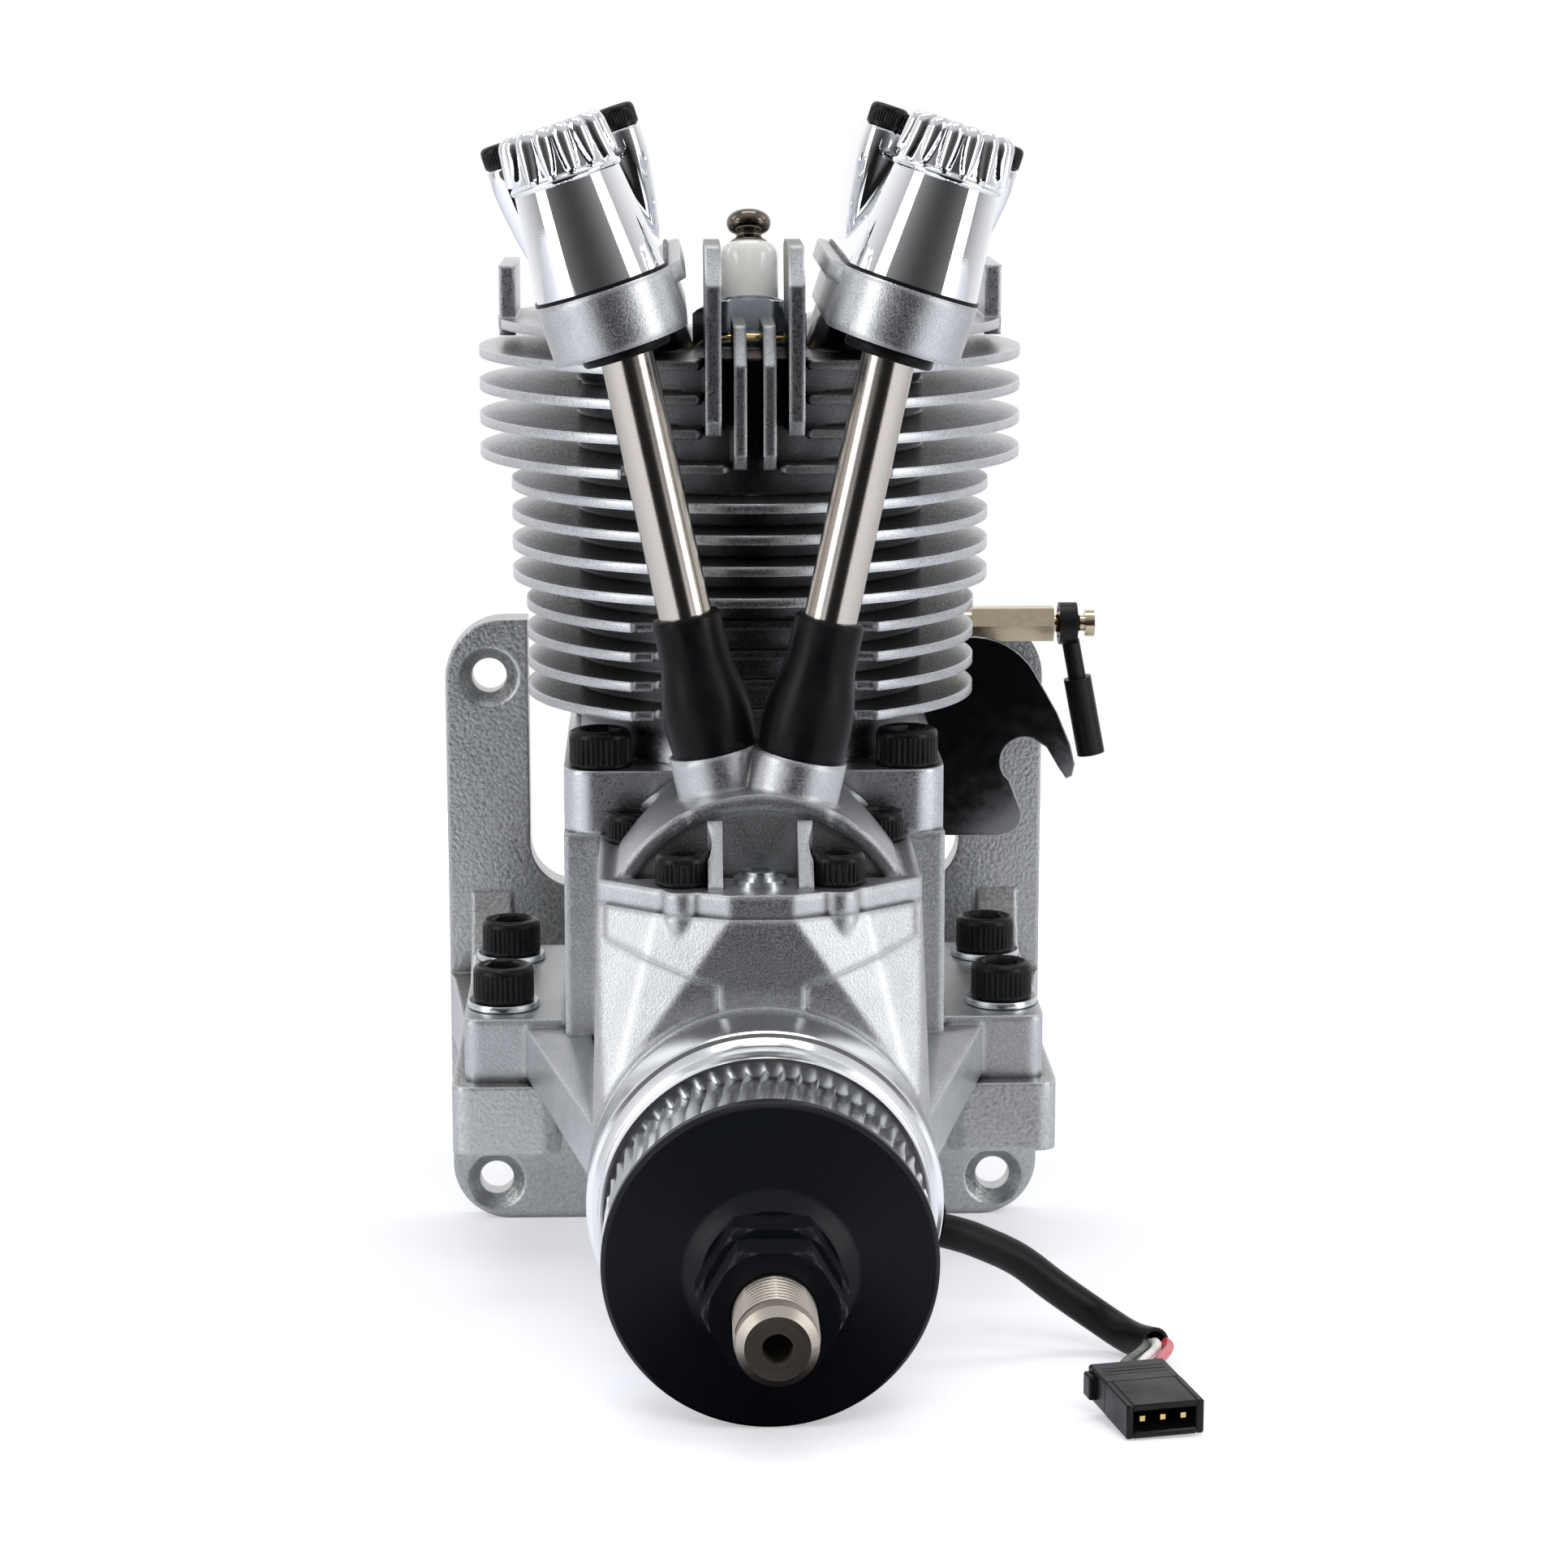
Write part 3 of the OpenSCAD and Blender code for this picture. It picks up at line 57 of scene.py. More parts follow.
BOX_LEAN, PUSH_LEAN = 18, 12.27
BOX_FRONT, BOX_BACK = -44, 6
PUSH_Y = {-1: -42, 1: -46}      # planes of the left and right push rods

# Radius and height of cap screw heads
M5, M4, M3 = (4.25, 5), (3.5, 4), (2.75, 3)
COVER_HEAD = (2.6, 3)
MOUNT_SCREW = (35, 14)          # place of a mount screw from the cylinder axis

# Table that the engine stands tipped on: place along Y and height of the mount's front edge, and slope
TABLE_EDGE = (-6.0, -39.6)
TABLE_SLOPE = -0.1355
TABLE_REACH = 900

# Camera, in metres and degrees, with the focal length for a sensor 36 mm wide
CAMERA_PLACE = (-0.0119, -0.581, 0.1445)
CAMERA_TURN = (78.7, 0, -1.79)
CAMERA_LENS = 87.6

ENGINE = Matrix.Translation((0, -STANDOFF, 0))


def turn(degrees, axis):
    return Matrix.Rotation(math.radians(degrees), 4, axis)


def shift(x, y, z):
    return Matrix.Translation((x, y, z))


def side(s):
    """Mirrors a right-hand frame to the left for s = -1."""
    return Matrix.Scale(s, 4, (1, 0, 0))


def box_frame(s):
    """Frame of a rocker box: z up its lean, x across."""
    return ENGINE @ side(s) @ shift(BOX_X, 0, BOX_Z) @ turn(BOX_LEAN, "Y")


def push_frame(s):
    return ENGINE @ side(s) @ shift(0, PUSH_Y[s], CAM_Z) @ turn(PUSH_LEAN, "Y")


def crank_frame(y):
    """Frame on the crank axis at y, with z towards the propeller."""
    return ENGINE @ shift(0, y, 0) @ turn(90, "X")


PLUG = ENGINE @ shift(0, -2, TOP_FIN - 8) @ turn(-18, "X") @ shift(0, 0, 4.2)


def table_height(y_mm):
    return TABLE_EDGE[1] + (y_mm - TABLE_EDGE[0]) * TABLE_SLOPE


# Camera

def add_camera():
    data = bpy.data.cameras.new("photo_camera")
    data.sensor_width = 36
    data.lens = CAMERA_LENS
    data.clip_start = 0.05
    camera = bpy.data.objects.new("photo_camera", data)
    camera.location = CAMERA_PLACE
    camera.rotation_euler = [math.radians(a) for a in CAMERA_TURN]
    bpy.context.scene.collection.objects.link(camera)
    bpy.context.scene.camera = camera


add_camera()


# Materials

EDGE_HIGHLIGHT_WHITE = (0.96, 0.97, 0.99)     # painted highlight on the edges of cast alloy
GAP_SHADE_BLACK = (0.03, 0.03, 0.033)     # painted shade deep in the gaps of cast alloy
GROOVE_SHADE_BLACK = (0.02, 0.02, 0.025)  # painted shade in the grooves of turned metal
FIN_ROOT, FIN_RIM = 25, 33          # radii over which the painted shade between the fins fades out
TURNED_DRIFT = 0.025 * MM           # how far tool marks drift in one turn


class Nodes:
    """Adds nodes to a tree by short calls. Inputs go by name, or by number as i0, i1."""

    def __init__(self, tree):
        self.tree = tree
        tree.nodes.clear()

    def feed(self, node, name, value):
        numbered = name[0] == "i" and name[1:].isdigit()
        socket = node.inputs[int(name[1:]) if numbered else name]
        if isinstance(value, bpy.types.NodeSocket):
            self.tree.links.new(value, socket)
        else:
            socket.default_value = value

    def node(self, kind, **inputs):
        node = self.tree.nodes.new("ShaderNode" + kind)
        for name, value in inputs.items():
            self.feed(node, name.replace("_", " "), value)
        return node

    def math(self, operation, first, second=0.0):
        node = self.node("Math", i0=first, i1=second)
        node.operation = operation
        return node.outputs[0]

    def reach(self, first, second):
        """Length of the vector of two values."""
        squares = [self.math("MULTIPLY", v, v) for v in (first, second)]
        return self.math("SQRT", self.math("ADD", *squares))

    def spread(self, value, low, high, start=0.3, end=0.7):
        """Maps a value between start and end to the range low to high."""
        node = self.node("MapRange", Value=value, From_Min=start, From_Max=end, To_Min=low, To_Max=high)
        return node.outputs["Result"]

    def blend(self, value, first, second):
        """Mix of two colours: the first where the value is 0, the second where it is 1."""
        node = self.node("Mix", Factor=value)
        node.data_type = "RGBA"
        for number, color in (("i6", first), ("i7", second)):
            self.feed(node, number, color if isinstance(color, bpy.types.NodeSocket) else (*color, 1))
        return node.outputs[2]


class Shader(Nodes):
    """A material. Texture places are in the row frame."""

    def __init__(self, name, color, metallic=0.0, roughness=0.5, **sockets):
        self.material = bpy.data.materials.new(name)
        self.material.use_nodes = True
        super().__init__(self.material.node_tree)
        self.bsdf = self.node("BsdfPrincipled")
        self.node("OutputMaterial", Surface=self.bsdf.outputs[0])
        self.place = self.node("TexCoord").outputs["Object"]
        self.set("Base Color", (*color, 1))
        self.set("Metallic", metallic)
        self.set("Roughness", roughness)
        for socket, value in sockets.items():
            self.set(socket.replace("_", " "), value)

    def set(self, socket, value):
        self.bsdf.inputs[socket].default_value = value

    def separate_place(self):
        return self.node("SeparateXYZ", Vector=self.place).outputs

    def noise(self, scale, detail=2.0, place=None):
        place = self.place if place is None else place
        return self.node("TexNoise", Scale=scale, Detail=detail, Roughness=0.5, Vector=place).outputs["Fac"]

    def stretched(self, x, y, z):
        """Texture place scaled by a factor along each axis."""
        return self.node("Mapping", Scale=(x, y, z), Vector=self.place).outputs[0]

    def turned(self):
        """Place on a piece turned about the crank axis: radius, length and a slow angle."""
        x, y, z = self.separate_place()
        radius = self.reach(x, z)
        angle = self.math("MULTIPLY", self.math("SINE", self.math("ARCTAN2", x, z)), TURNED_DRIFT)
        return self.node("CombineXYZ", X=radius, Y=y, Z=angle).outputs[0]

    def edges(self, radius):
        """1 on sharp edges, 0 on flat faces."""
        bevel = self.node("Bevel", Radius=radius)
        bevel.samples = 4
        normal = self.node("NewGeometry").outputs["Normal"]
        dot = self.node("VectorMath", i0=bevel.outputs[0], i1=normal)
        dot.operation = "DOT_PRODUCT"
        return self.spread(dot.outputs["Value"], 1, 0, 0.75, 0.985)

    def gap_shade_mask(self, distance, low, high):
        """0 deep in a gap of about that width, 1 in the open; it sets where shade is painted into gaps."""
        occlusion = self.node("AmbientOcclusion", Distance=distance)
        occlusion.samples = 6
        return self.spread(occlusion.outputs["AO"], 0, 1, low, high)

    def off_axis(self, near, far):
        """0 near the cylinder's axis and 1 far from it, and 1 all over its foot; it sets where shade is
        painted between the fins.
        """
        x, y, z = self.separate_place()
        radius = self.reach(x, self.math("ADD", y, STANDOFF * MM))
        outward = self.spread(radius, 0, 1, near * MM, far * MM)
        return self.math("MAXIMUM", outward, self.spread(z, 1, 0, (FOOT_TOP + 1) * MM, (FOOT_TOP + 4) * MM))

    def link(self, socket, value):
        self.tree.links.new(value, self.bsdf.inputs[socket])

    def bump(self, height, distance, strength=1.0, rounded=0.0):
        """Bump from a height; with rounded, edges of that radius look rounded too."""
        node = self.node("Bump", Strength=strength, Distance=distance, Height=height)
        if rounded:
            bevel = self.node("Bevel", Radius=rounded)
            bevel.samples = 6
            self.feed(node, "Normal", bevel.outputs[0])
        self.link("Normal", node.outputs[0])


def cast_metal(name, dark, light, grain, depth, roughness, rounded, gap=2 * MM, shade_fin_roots=False):
    """Cast alloy: grain in height and colour, with a painted highlight on its edges and painted shade in its
    gaps.
    """
    s = Shader(name, light, metallic=1.0, roughness=roughness)
    fine = s.noise(grain, detail=3)
    broad = s.noise(grain / 14)
    body = s.blend(s.spread(fine, 0, 1, 0.35, 0.65), dark, light)
    body = s.blend(s.spread(broad, 0.3, 0), body, tuple(0.8 * c for c in dark))
    # Painted highlight on the edges
    edge = s.edges(0.3 * MM)
    shell = s.blend(s.math("MULTIPLY", edge, 0.8), body, EDGE_HIGHLIGHT_WHITE)
    # Painted shade in the gaps: the colour goes dark where occlusion is deep
    unshaded = s.gap_shade_mask(gap, 0.2, 0.7)
    # Between the fins, the painted shade deepens towards the cylinder's axis
    if shade_fin_roots:
        unshaded = s.math("MULTIPLY", unshaded, s.spread(s.off_axis(FIN_ROOT, FIN_RIM), 0.12, 1, 0, 1))
    s.link("Base Color", s.blend(unshaded, GAP_SHADE_BLACK, shell))
    rough = s.spread(fine, roughness - 0.08, roughness + 0.1)
    s.link("Roughness", s.math("SUBTRACT", rough, s.math("MULTIPLY", edge, 0.16)))
    s.bump(fine, depth, rounded=rounded)
    return s.material


def turned_metal(name, color, roughness, grooves=30000, depth=0.004 * MM, metallic=1.0, gap=None,
                 **sockets):
    """Metal turned about the crank axis, with fine tool marks, and painted shade in gaps where gap is given.
    """
    s = Shader(name, color, metallic=metallic, roughness=roughness, **sockets)
    # Painted shade in the gaps and grooves
    if gap:
        s.link("Base Color", s.blend(s.gap_shade_mask(gap, 0.3, 0.7), GROOVE_SHADE_BLACK, color))
    marks = s.noise(grooves, place=s.turned())
    s.link("Roughness", s.spread(marks, roughness * 0.75, roughness * 1.35))
    s.bump(marks, depth)
    return s.material


def plated(name, color, roughness, grain=900, metallic=1.0, tint=0.82, depth=0.006 * MM, rim=None,
           **sockets):
    """Smooth metal or plating with slight cloudiness, and a painted highlight colour on its edges where rim
    is given.
    """
    s = Shader(name, color, metallic=metallic, roughness=roughness, **sockets)
    cloud = s.noise(grain, detail=3)
    body = s.blend(s.spread(cloud, 0, 1), tuple(tint * c for c in color), color)
    # Painted highlight on the edges where a rim colour is given
    s.link("Base Color", s.blend(s.edges(0.25 * MM), body, rim) if rim else body)
    s.link("Roughness", s.spread(cloud, roughness * 0.8, roughness * 1.3))
    s.bump(s.noise(grain * 5), depth, 0.6, rounded=0.35 * MM if rim else 0.0)
    return s.material


def brushed_tube(name, color):
    """Drawn tube: faint rings across its length."""
    s = Shader(name, color, metallic=1.0, roughness=0.2)
    marks = s.noise(700, detail=3, place=s.stretched(1, 1, 14))
    s.link("Base Color", s.blend(s.spread(marks, 0, 1), tuple(0.95 * c for c in color), color))
    s.link("Roughness", s.spread(marks, 0.15, 0.21))
    s.bump(marks, 0.0006 * MM)
    return s.material


def moulded(name, color, roughness, **sockets):
    """Plastic or rubber with a fine moulded grain."""
    s = Shader(name, color, roughness=roughness, **sockets)
    grain = s.noise(3500)
    broad = s.noise(160, detail=3)
    s.link("Base Color", s.blend(s.spread(broad, 0, 1), color, tuple(1.5 * c + 0.001 for c in color)))
    s.link("Roughness", s.spread(broad, roughness - 0.06, roughness + 0.1))
    s.bump(grain, 0.006 * MM, 0.7)
    return s.material


def glazed(name):
    s = Shader(name, (0.9, 0.89, 0.84), roughness=0.08, Coat_Weight=0.6, Coat_Roughness=0.04)
    cloud = s.noise(300)
    s.link("Base Color", s.blend(s.spread(cloud, 0, 1), (0.89, 0.88, 0.83), (0.93, 0.92, 0.88)))
    s.bump(s.noise(900), 0.004 * MM, 0.5)
    return s.material


LOOKS = {
    "cast_case": cast_metal("cast_case", (0.5, 0.51, 0.52), (0.68, 0.69, 0.7), 4000, 0.035 * MM, 0.36,
                            rounded=1.4 * MM),
    "cast_mount": cast_metal("cast_mount", (0.5, 0.51, 0.51), (0.66, 0.67, 0.67), 1700, 0.08 * MM, 0.34,
                             rounded=0.8 * MM),
    "cast_cylinder": cast_metal("cast_cylinder", (0.56, 0.57, 0.59), (0.72, 0.73, 0.75), 3400, 0.02 * MM,
                                0.32, rounded=0.8 * MM, gap=4 * MM, shade_fin_roots=True),
    # Machined metal gets painted shade in the gaps between its ridges
    "machined": turned_metal("machined", (0.9, 0.91, 0.93), 0.16, gap=0.9 * MM),
    "black_oxide": plated("black_oxide", (0.005, 0.005, 0.006), 0.3, metallic=0.0,
                          Specular_IOR_Level=0.22),
    "black_anodised": turned_metal("black_anodised", (0.003, 0.004, 0.006), 0.36, 26000, 0.006 * MM, 0.0,
                                   Specular_IOR_Level=0.2),
    "chrome_cover": plated("chrome_cover", (0.93, 0.94, 0.96), 0.02, tint=0.97, depth=0.001 * MM),
    "stainless": brushed_tube("stainless", (0.62, 0.57, 0.51)),
    "zinc": plated("zinc", (0.78, 0.8, 0.82), 0.22),
    "rubber_black": moulded("rubber_black", (0.003, 0.003, 0.004), 0.33, Specular_IOR_Level=0.13),
    "ceramic": glazed("ceramic"),
    "plug_steel": plated("plug_steel", (0.32, 0.34, 0.37), 0.2),
    "black_nickel": plated("black_nickel", (0.2, 0.17, 0.14), 0.12),
    "steel": plated("steel", (0.6, 0.6, 0.62), 0.22),
    "shaft_steel": turned_metal("shaft_steel", (0.5, 0.455, 0.4), 0.42),
    "brass_nickel": plated("brass_nickel", (0.62, 0.53, 0.38), 0.16),
    "yellow_zinc": plated("yellow_zinc", (0.8, 0.55, 0.12), 0.2),
    # Dark colour standing in for a dark reflection, with a painted highlight on the rim
    "sheet_zinc": plated("sheet_zinc", (0.2, 0.195, 0.205), 0.08, grain=500, tint=0.8, depth=0.001 * MM,
                         rim=(0.85, 0.9, 0.92)),
    "nylon_black": moulded("nylon_black", (0.004, 0.004, 0.005), 0.34, Specular_IOR_Level=0.25),
    "sleeve_black": moulded("sleeve_black", (0.004, 0.004, 0.004), 0.4, Specular_IOR_Level=0.18),
    "wire_red": moulded("wire_red", (0.55, 0.012, 0.03), 0.3),
    "wire_black": moulded("wire_black", (0.006, 0.006, 0.007), 0.32),
    "wire_white": moulded("wire_white", (0.75, 0.75, 0.73), 0.35),
    "gold": plated("gold", (0.85, 0.62, 0.25), 0.2),
    "light_alloy": plated("light_alloy", (0.66, 0.67, 0.68), 0.36, grain=3000),
    "horn_dark": moulded("horn_dark", (0.03, 0.03, 0.033), 0.45),
}


def dress_nodes():
    """Gives each CAD node the look of its material slot."""
    for part in packed["record"]["subparts"]:
        mesh = NODES[part["node"]].data
        mesh.materials.clear()
        mesh.materials.append(LOOKS[part["material_slot"]])


dress_nodes()


# Forms

class Form:
    """A mesh gathered from rings of points, in millimetres in a given frame."""

    def __init__(self):
        self.points = []
        self.faces = []

    def rings(self, rings, frame, loop=False):
        """Skin over rings of equal count, closed by flat ends or, with loop, back to the first ring."""
        start, count = len(self.points), len(rings[0])
        self.points += [frame @ Vector(p) for ring in rings for p in ring]
        faces = []
        for i in range(len(rings) if loop else len(rings) - 1):
            a, b = start + i * count, start + (i + 1) % len(rings) * count
            faces += [(a + k, a + (k + 1) % count, b + (k + 1) % count, b + k) for k in range(count)]
        if not loop:
            last = start + (len(rings) - 1) * count
            faces += [tuple(range(start + count - 1, start - 1, -1)), tuple(range(last, last + count))]
        if frame.to_3x3().determinant() < 0:
            faces = [tuple(reversed(f)) for f in faces]
        self.faces += faces
        return self

    def revolve(self, profile, frame, count=64, loop=False):
        """Turned form from (radius, z) points."""
        return self.rings([circle(r, z, count) for r, z in profile], frame, loop)

    def tube(self, path, radius, count, inner=0.0, depth=0.0):
        """Round tube along a path, with an open end of that depth where inner is given."""
        path = [Vector(p) for p in path]
        last = len(path) - 1
        ways = [(path[min(i + 1, last)] - path[max(i - 1, 0)]).normalized() for i in range(last + 1)]
        across = ways[0].cross(Vector((0.13, 0.21, 1))).normalized()
        rings = []
        for p, way in zip(path, ways):
            across = (across - way * across.dot(way)).normalized()
            up = way.cross(across)
            around = [math.cos(a) * across + math.sin(a) * up for a in angles(count)]
            rings.append([p + radius * out for out in around])
        if inner:
            for back in (0.0, depth):
                rings.append([path[-1] - ways[-1] * back + inner * out for out in around])
        return self.rings(rings, ENGINE)

    def make(self, name, look, body="root", replaces=(), sharp=40):
        """Finishes the piece: metres, smooth faces with sharp edges, material, body."""
        mesh = bpy.data.meshes.new(name)
        mesh.from_pydata([p * MM for p in self.points], [], self.faces)
        mesh.validate()
        mesh.shade_smooth()
        mesh.set_sharp_from_angle(angle=math.radians(sharp))
        mesh.materials.append(LOOKS[look])
        piece = bpy.data.objects.new(name, mesh)
        bpy.context.scene.collection.objects.link(piece)
        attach(piece, body)
        if replaces:
            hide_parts(*replaces)
        return piece


def angles(count):
    return [2 * math.pi * k / count for k in range(count)]


def circle(radius, z, count):
    return [(radius * math.cos(a), radius * math.sin(a), z) for a in angles(count)]


def hexagon(apothem, count, z, corner=1.0):
    """Ring of a hexagon whose corners are cut back to the factor corner of their reach."""
    reach = apothem / math.cos(math.pi / 6) * corner
    ring = []
    for a in angles(count):
        r = min(apothem / math.cos((a % (math.pi / 3)) - math.pi / 6), reach)
        ring.append((r * math.cos(a), r * math.sin(a), z))
    return ring


def smooth_path(points, steps):
    """Points along a smooth curve through the given ones."""
    points = [Vector(p) for p in points]
    last = len(points) - 1
    out = []
    for i in range(last):
        a, b, c, d = points[max(i - 1, 0)], points[i], points[i + 1], points[min(i + 2, last)]
        for k in range(steps):
            t = k / steps
            out.append(0.5 * (2 * b + t * (c - a) + t ** 2 * (2 * a - 5 * b + 4 * c - d)
                              + t ** 3 * (3 * b - a - 3 * c + d)))
    return out + [points[last]]


# Lead of the ignition sensor

SLEEVE = [(22.5, -67.4, -7.2), (25, -67, -8), (27.8, -66, -9.3), (33, -64, -12.4), (38.2, -62.5, -16.8),
          (43.4, -62.5, -20.6), (47.6, -66, -22.5), (50.2, -70.5, -21.9)]
# Middle wire, with the step across to the wires on both sides of it
WIRES = [(50.2, -70.6, -21.6, 1.45, 0), (50, -74, -20.8, 1.5, 0), (48.8, -80, -19.4, 1.7, 0.1),
         (46.6, -88, -17.6, 2, 0.2), (45.1, -94, -16.4, 2.4, 0.4), (43.3, -96.9, -15.9, 2.48, 0.53)]
CONNECTOR = (ENGINE @ shift(46.2, -111.2, -18.7) @ turn(12, "Z")
             @ turn(8.1 + math.degrees(math.atan(TABLE_SLOPE)), "X"))
WIRE_R = 0.65
SLEEVE_R = 2.2


def bevelled_block(form, frame, low, high, edge):
    """Block with a small chamfer on its four long edges and both ends, along y."""
    (x0, y0, z0), (x1, y1, z1) = low, high

    def ring(y, inset):
        left, right, foot, top = x0 + inset, x1 - inset, z0 + inset, z1 - inset
        return [(left, y, foot + edge), (left, y, top - edge), (left + edge, y, top), (right - edge, y, top),
                (right, y, top - edge), (right, y, foot + edge), (right - edge, y, foot),
                (left + edge, y, foot)]

    form.rings([ring(y0, edge), ring(y0 + edge, 0), ring(y1 - edge, 0), ring(y1, edge)], frame)


def add_lead():
    """Three wires that leave a sleeve for a connector. The middle one also runs through the sleeve."""
    for color, step in (("black", -1), ("white", 0), ("red", 1)):
        path = smooth_path([(x + dx * step, y + dy * step, z) for x, y, z, dx, dy in WIRES], 4)
        if color == "white":
            path = smooth_path(SLEEVE, 4)[:-1] + path
        wire = Form().tube(path, WIRE_R, 12)
        wire.make("sensor_wire_" + color, "wire_" + color, replaces=["sensor_wires"])
    sleeve = Form().tube(smooth_path(SLEEVE, 6), SLEEVE_R, 28, inner=1.75, depth=3.5)
    sleeve = sleeve.make("sensor_sleeve_tube", "sleeve_black", replaces=["sensor_sleeve"])
    shell = Form()
    bevelled_block(shell, CONNECTOR, (-4.8, 8, 0), (4.8, 14.6, 4.2), 0.25)
    for x0, x1, z0, z1 in ((-4.8, -3.9, 0, 4.2), (3.9, 4.8, 0, 4.2), (-4, 4, 0, 0.8), (-4, 4, 3.4, 4.2)):
        bevelled_block(shell, CONNECTOR, (x0, 0, z0), (x1, 8.2, z1), 0.18)
    for y in (10.2, 11.2, 12.2):
        bevelled_block(shell, CONNECTOR, (-4.0, y, 4.15), (4.0, y + 0.5, 4.2), 0.01)
    bevelled_block(shell, CONNECTOR, (-5.6, 11.6, 0.6), (-4.4, 14, 3.6), 0.2)
    shell = shell.make("connector_body", "nylon_black", replaces=["connector_shell"], sharp=30)


# Sizes of the rocker covers

COVER_Z = 5.0                   # base, above the box reference point
COVER_H = 21.0
COVER_R = 8.6                   # at the base
COVER_TAPER = 2.3 / 19.4        # radius lost per height
FILLET = 1.9                    # between the side and the top
BEAD = 14.15                    # height of the thin bead round the side, above the base
FLANK_TOP = 17.3                # height of the flanks that carry the screws, above the base
FLANK_FRONT, FLANK_BACK = -20, 1
COVER_SCREW_X = 8.1
FAR = 99                        # further from the ribs than any rib reaches


# Screws

def cap_screw(form, frame, head, shank_r, shank_len):
    """Cap head screw: knurled side, rounded top edge, hexagon socket. Head base at z = 0, shank below."""
    radius, high = head
    knurls = 34
    count = knurls * 3
    key = radius * 0.52
    cut = 0.045 * radius

    def ring(r, z, cut=0.0):
        """Circle, with each third point further in by cut."""
        reaches = [r - cut * (k % 3 == 0) for k in range(count)]
        return [(reach * math.cos(a), reach * math.sin(a), z) for reach, a in zip(reaches, angles(count))]

    rings = [ring(shank_r, -shank_len), ring(shank_r, 0), ring(radius - 0.2, 0), ring(radius, 0.2),
             ring(radius, 0.45), ring(radius, 0.6, cut), ring(radius, high - 1.05, cut),
             ring(radius, high - 0.85), ring(radius - 0.03, high - 0.6), ring(radius - 0.14, high - 0.35),
             ring(radius - 0.36, high - 0.14), ring(radius - 0.7, high - 0.02), ring(radius - 1, high),
             ring(key * 1.22, high),
             hexagon(key * 1.04, count, high - 0.14), hexagon(key, count, high - 0.3),
             hexagon(key, count, high * 0.45)]
    form.rings(rings, frame)


def corners(x, y):
    return [(-x, -y), (x, -y), (-x, y), (x, y)]


def add_screws():
    """Cap screws of the case, mount, cylinder and covers, each turned a little differently."""
    backward = turn(-90, "X")
    case, mount, cylinder, cover = Form(), Form(), Form(), Form()
    for i, (x, y) in enumerate(((-16.7, -HALF - 3.8), (16.7, -HALF - 3.8), (-10, -NOSE + 9.6),
                                (10, -NOSE + 9.6))):
        cap_screw(case, ENGINE @ shift(x, y, DECK) @ turn(23 * i, "Z"), M4, 2, 10)
    for x in (-19.5, 19.5):
        for z in (-19.5, 19.5):
            cap_screw(case, ENGINE @ shift(x, HALF + 3.5, z) @ backward, M4, 2, 9)
    for x in (12, 21.5):
        cap_screw(case, ENGINE @ shift(x, HALF + 1.2, 30.5) @ backward, M3, 1.5, 3.4)
    for i, (x, y) in enumerate(corners(*MOUNT_SCREW)):
        cap_screw(mount, ENGINE @ shift(x, y, 9.9) @ turn(31 * i + 8, "Z"), M5, 2.5, 20.6)
    for i, (x, y) in enumerate(corners(21, 21)):
        cap_screw(cylinder, ENGINE @ shift(x, y, FOOT_TOP) @ turn(17 * i + 5, "Z"), M5, 2.5, 17.7)
    for s in (-1, 1):
        for x in (-COVER_SCREW_X, COVER_SCREW_X):
            place = box_frame(s) @ shift(x, FLANK_FRONT, COVER_Z + FLANK_TOP) @ turn(12 + x, "Z")
            cap_screw(cover, place, COVER_HEAD, 1.5, 4.5)
    for name, form in (("case", case), ("mount", mount), ("cylinder", cylinder), ("cover", cover)):
        form.make(name + "_cap_screws", "black_oxide", replaces=[name + "_screws"], sharp=30)


def add_washers():
    """Thin rounded washers under the mount screws."""
    form = Form()
    profile = [(2.65, 0), (4.85, 0), (5, 0.15), (5, 0.8), (4.85, 1), (2.8, 1), (2.65, 0.85)]
    for x in (-MOUNT_SCREW[0], MOUNT_SCREW[0]):
        for y in (-MOUNT_SCREW[1], MOUNT_SCREW[1]):
            form.revolve(profile, ENGINE @ shift(x, y, 8.9), 48, loop=True)
    form.make("mount_screw_washers", "zinc", replaces=["mount_washers"])


# Ribs that hang from a cover's top edge: place along the edge from the middle of the front, and length
RIBS = [(-11.6, 3.4), (-9.1, 4.6), (-6.5, 6.6), (-3.9, 5.2), (-1.3, 7.0), (1.3, 5.6), (3.9, 6.8), (6.5, 4.8),
        (9.1, 6.0), (11.6, 3.6)]
RIB_TALL, RIB_WIDE = 0.85, 1.18
RIB_FADE = 3.2                  # way over the top face in which a rib ends


def cover_outline(radius, front, back):
    """Stadium, dense at the front: points, outward directions and lengths from the front's middle."""
    ring = []
    for k in range(121):
        a = math.pi * (k / 120 - 0.5)
        out, ahead = math.sin(a), -math.cos(a)
        ring.append((radius * out, front + radius * ahead, out, ahead, radius * a))
    quarter = radius * math.pi / 2
    straight = back - front
    for k in range(1, 20):
        ring.append((radius, front + straight * k / 20, 1, 0, quarter + straight * k / 20))
    for k in range(37):
        a = math.pi * (k / 36)
        ring.append((radius * math.cos(a), back + radius * math.sin(a), math.cos(a), math.sin(a), FAR))
    for k in range(1, 20):
        ring.append((-radius, back - straight * k / 20, -1, 0, -quarter - straight * (1 - k / 20)))
    return ring


def rib_height(along, below):
    """Height of the ribs at a place along the edge and below it; negative below is on the top face."""
    height = 0.0
    for place, length in RIBS:
        if below > length:
            continue
        wide = RIB_WIDE * math.sqrt(max(0.0, 1 - (max(below, 0) / length) ** 1.7)) + 0.02
        across = abs(along - place) / wide
        if across < 1:
            bump = RIB_TALL * (1 - across ** 2) ** 0.8 * min(1.0, wide / 0.5)
            if below < 0:
                bump *= max(0.0, 1 + below / RIB_FADE)
            height = max(height, bump)
    return height


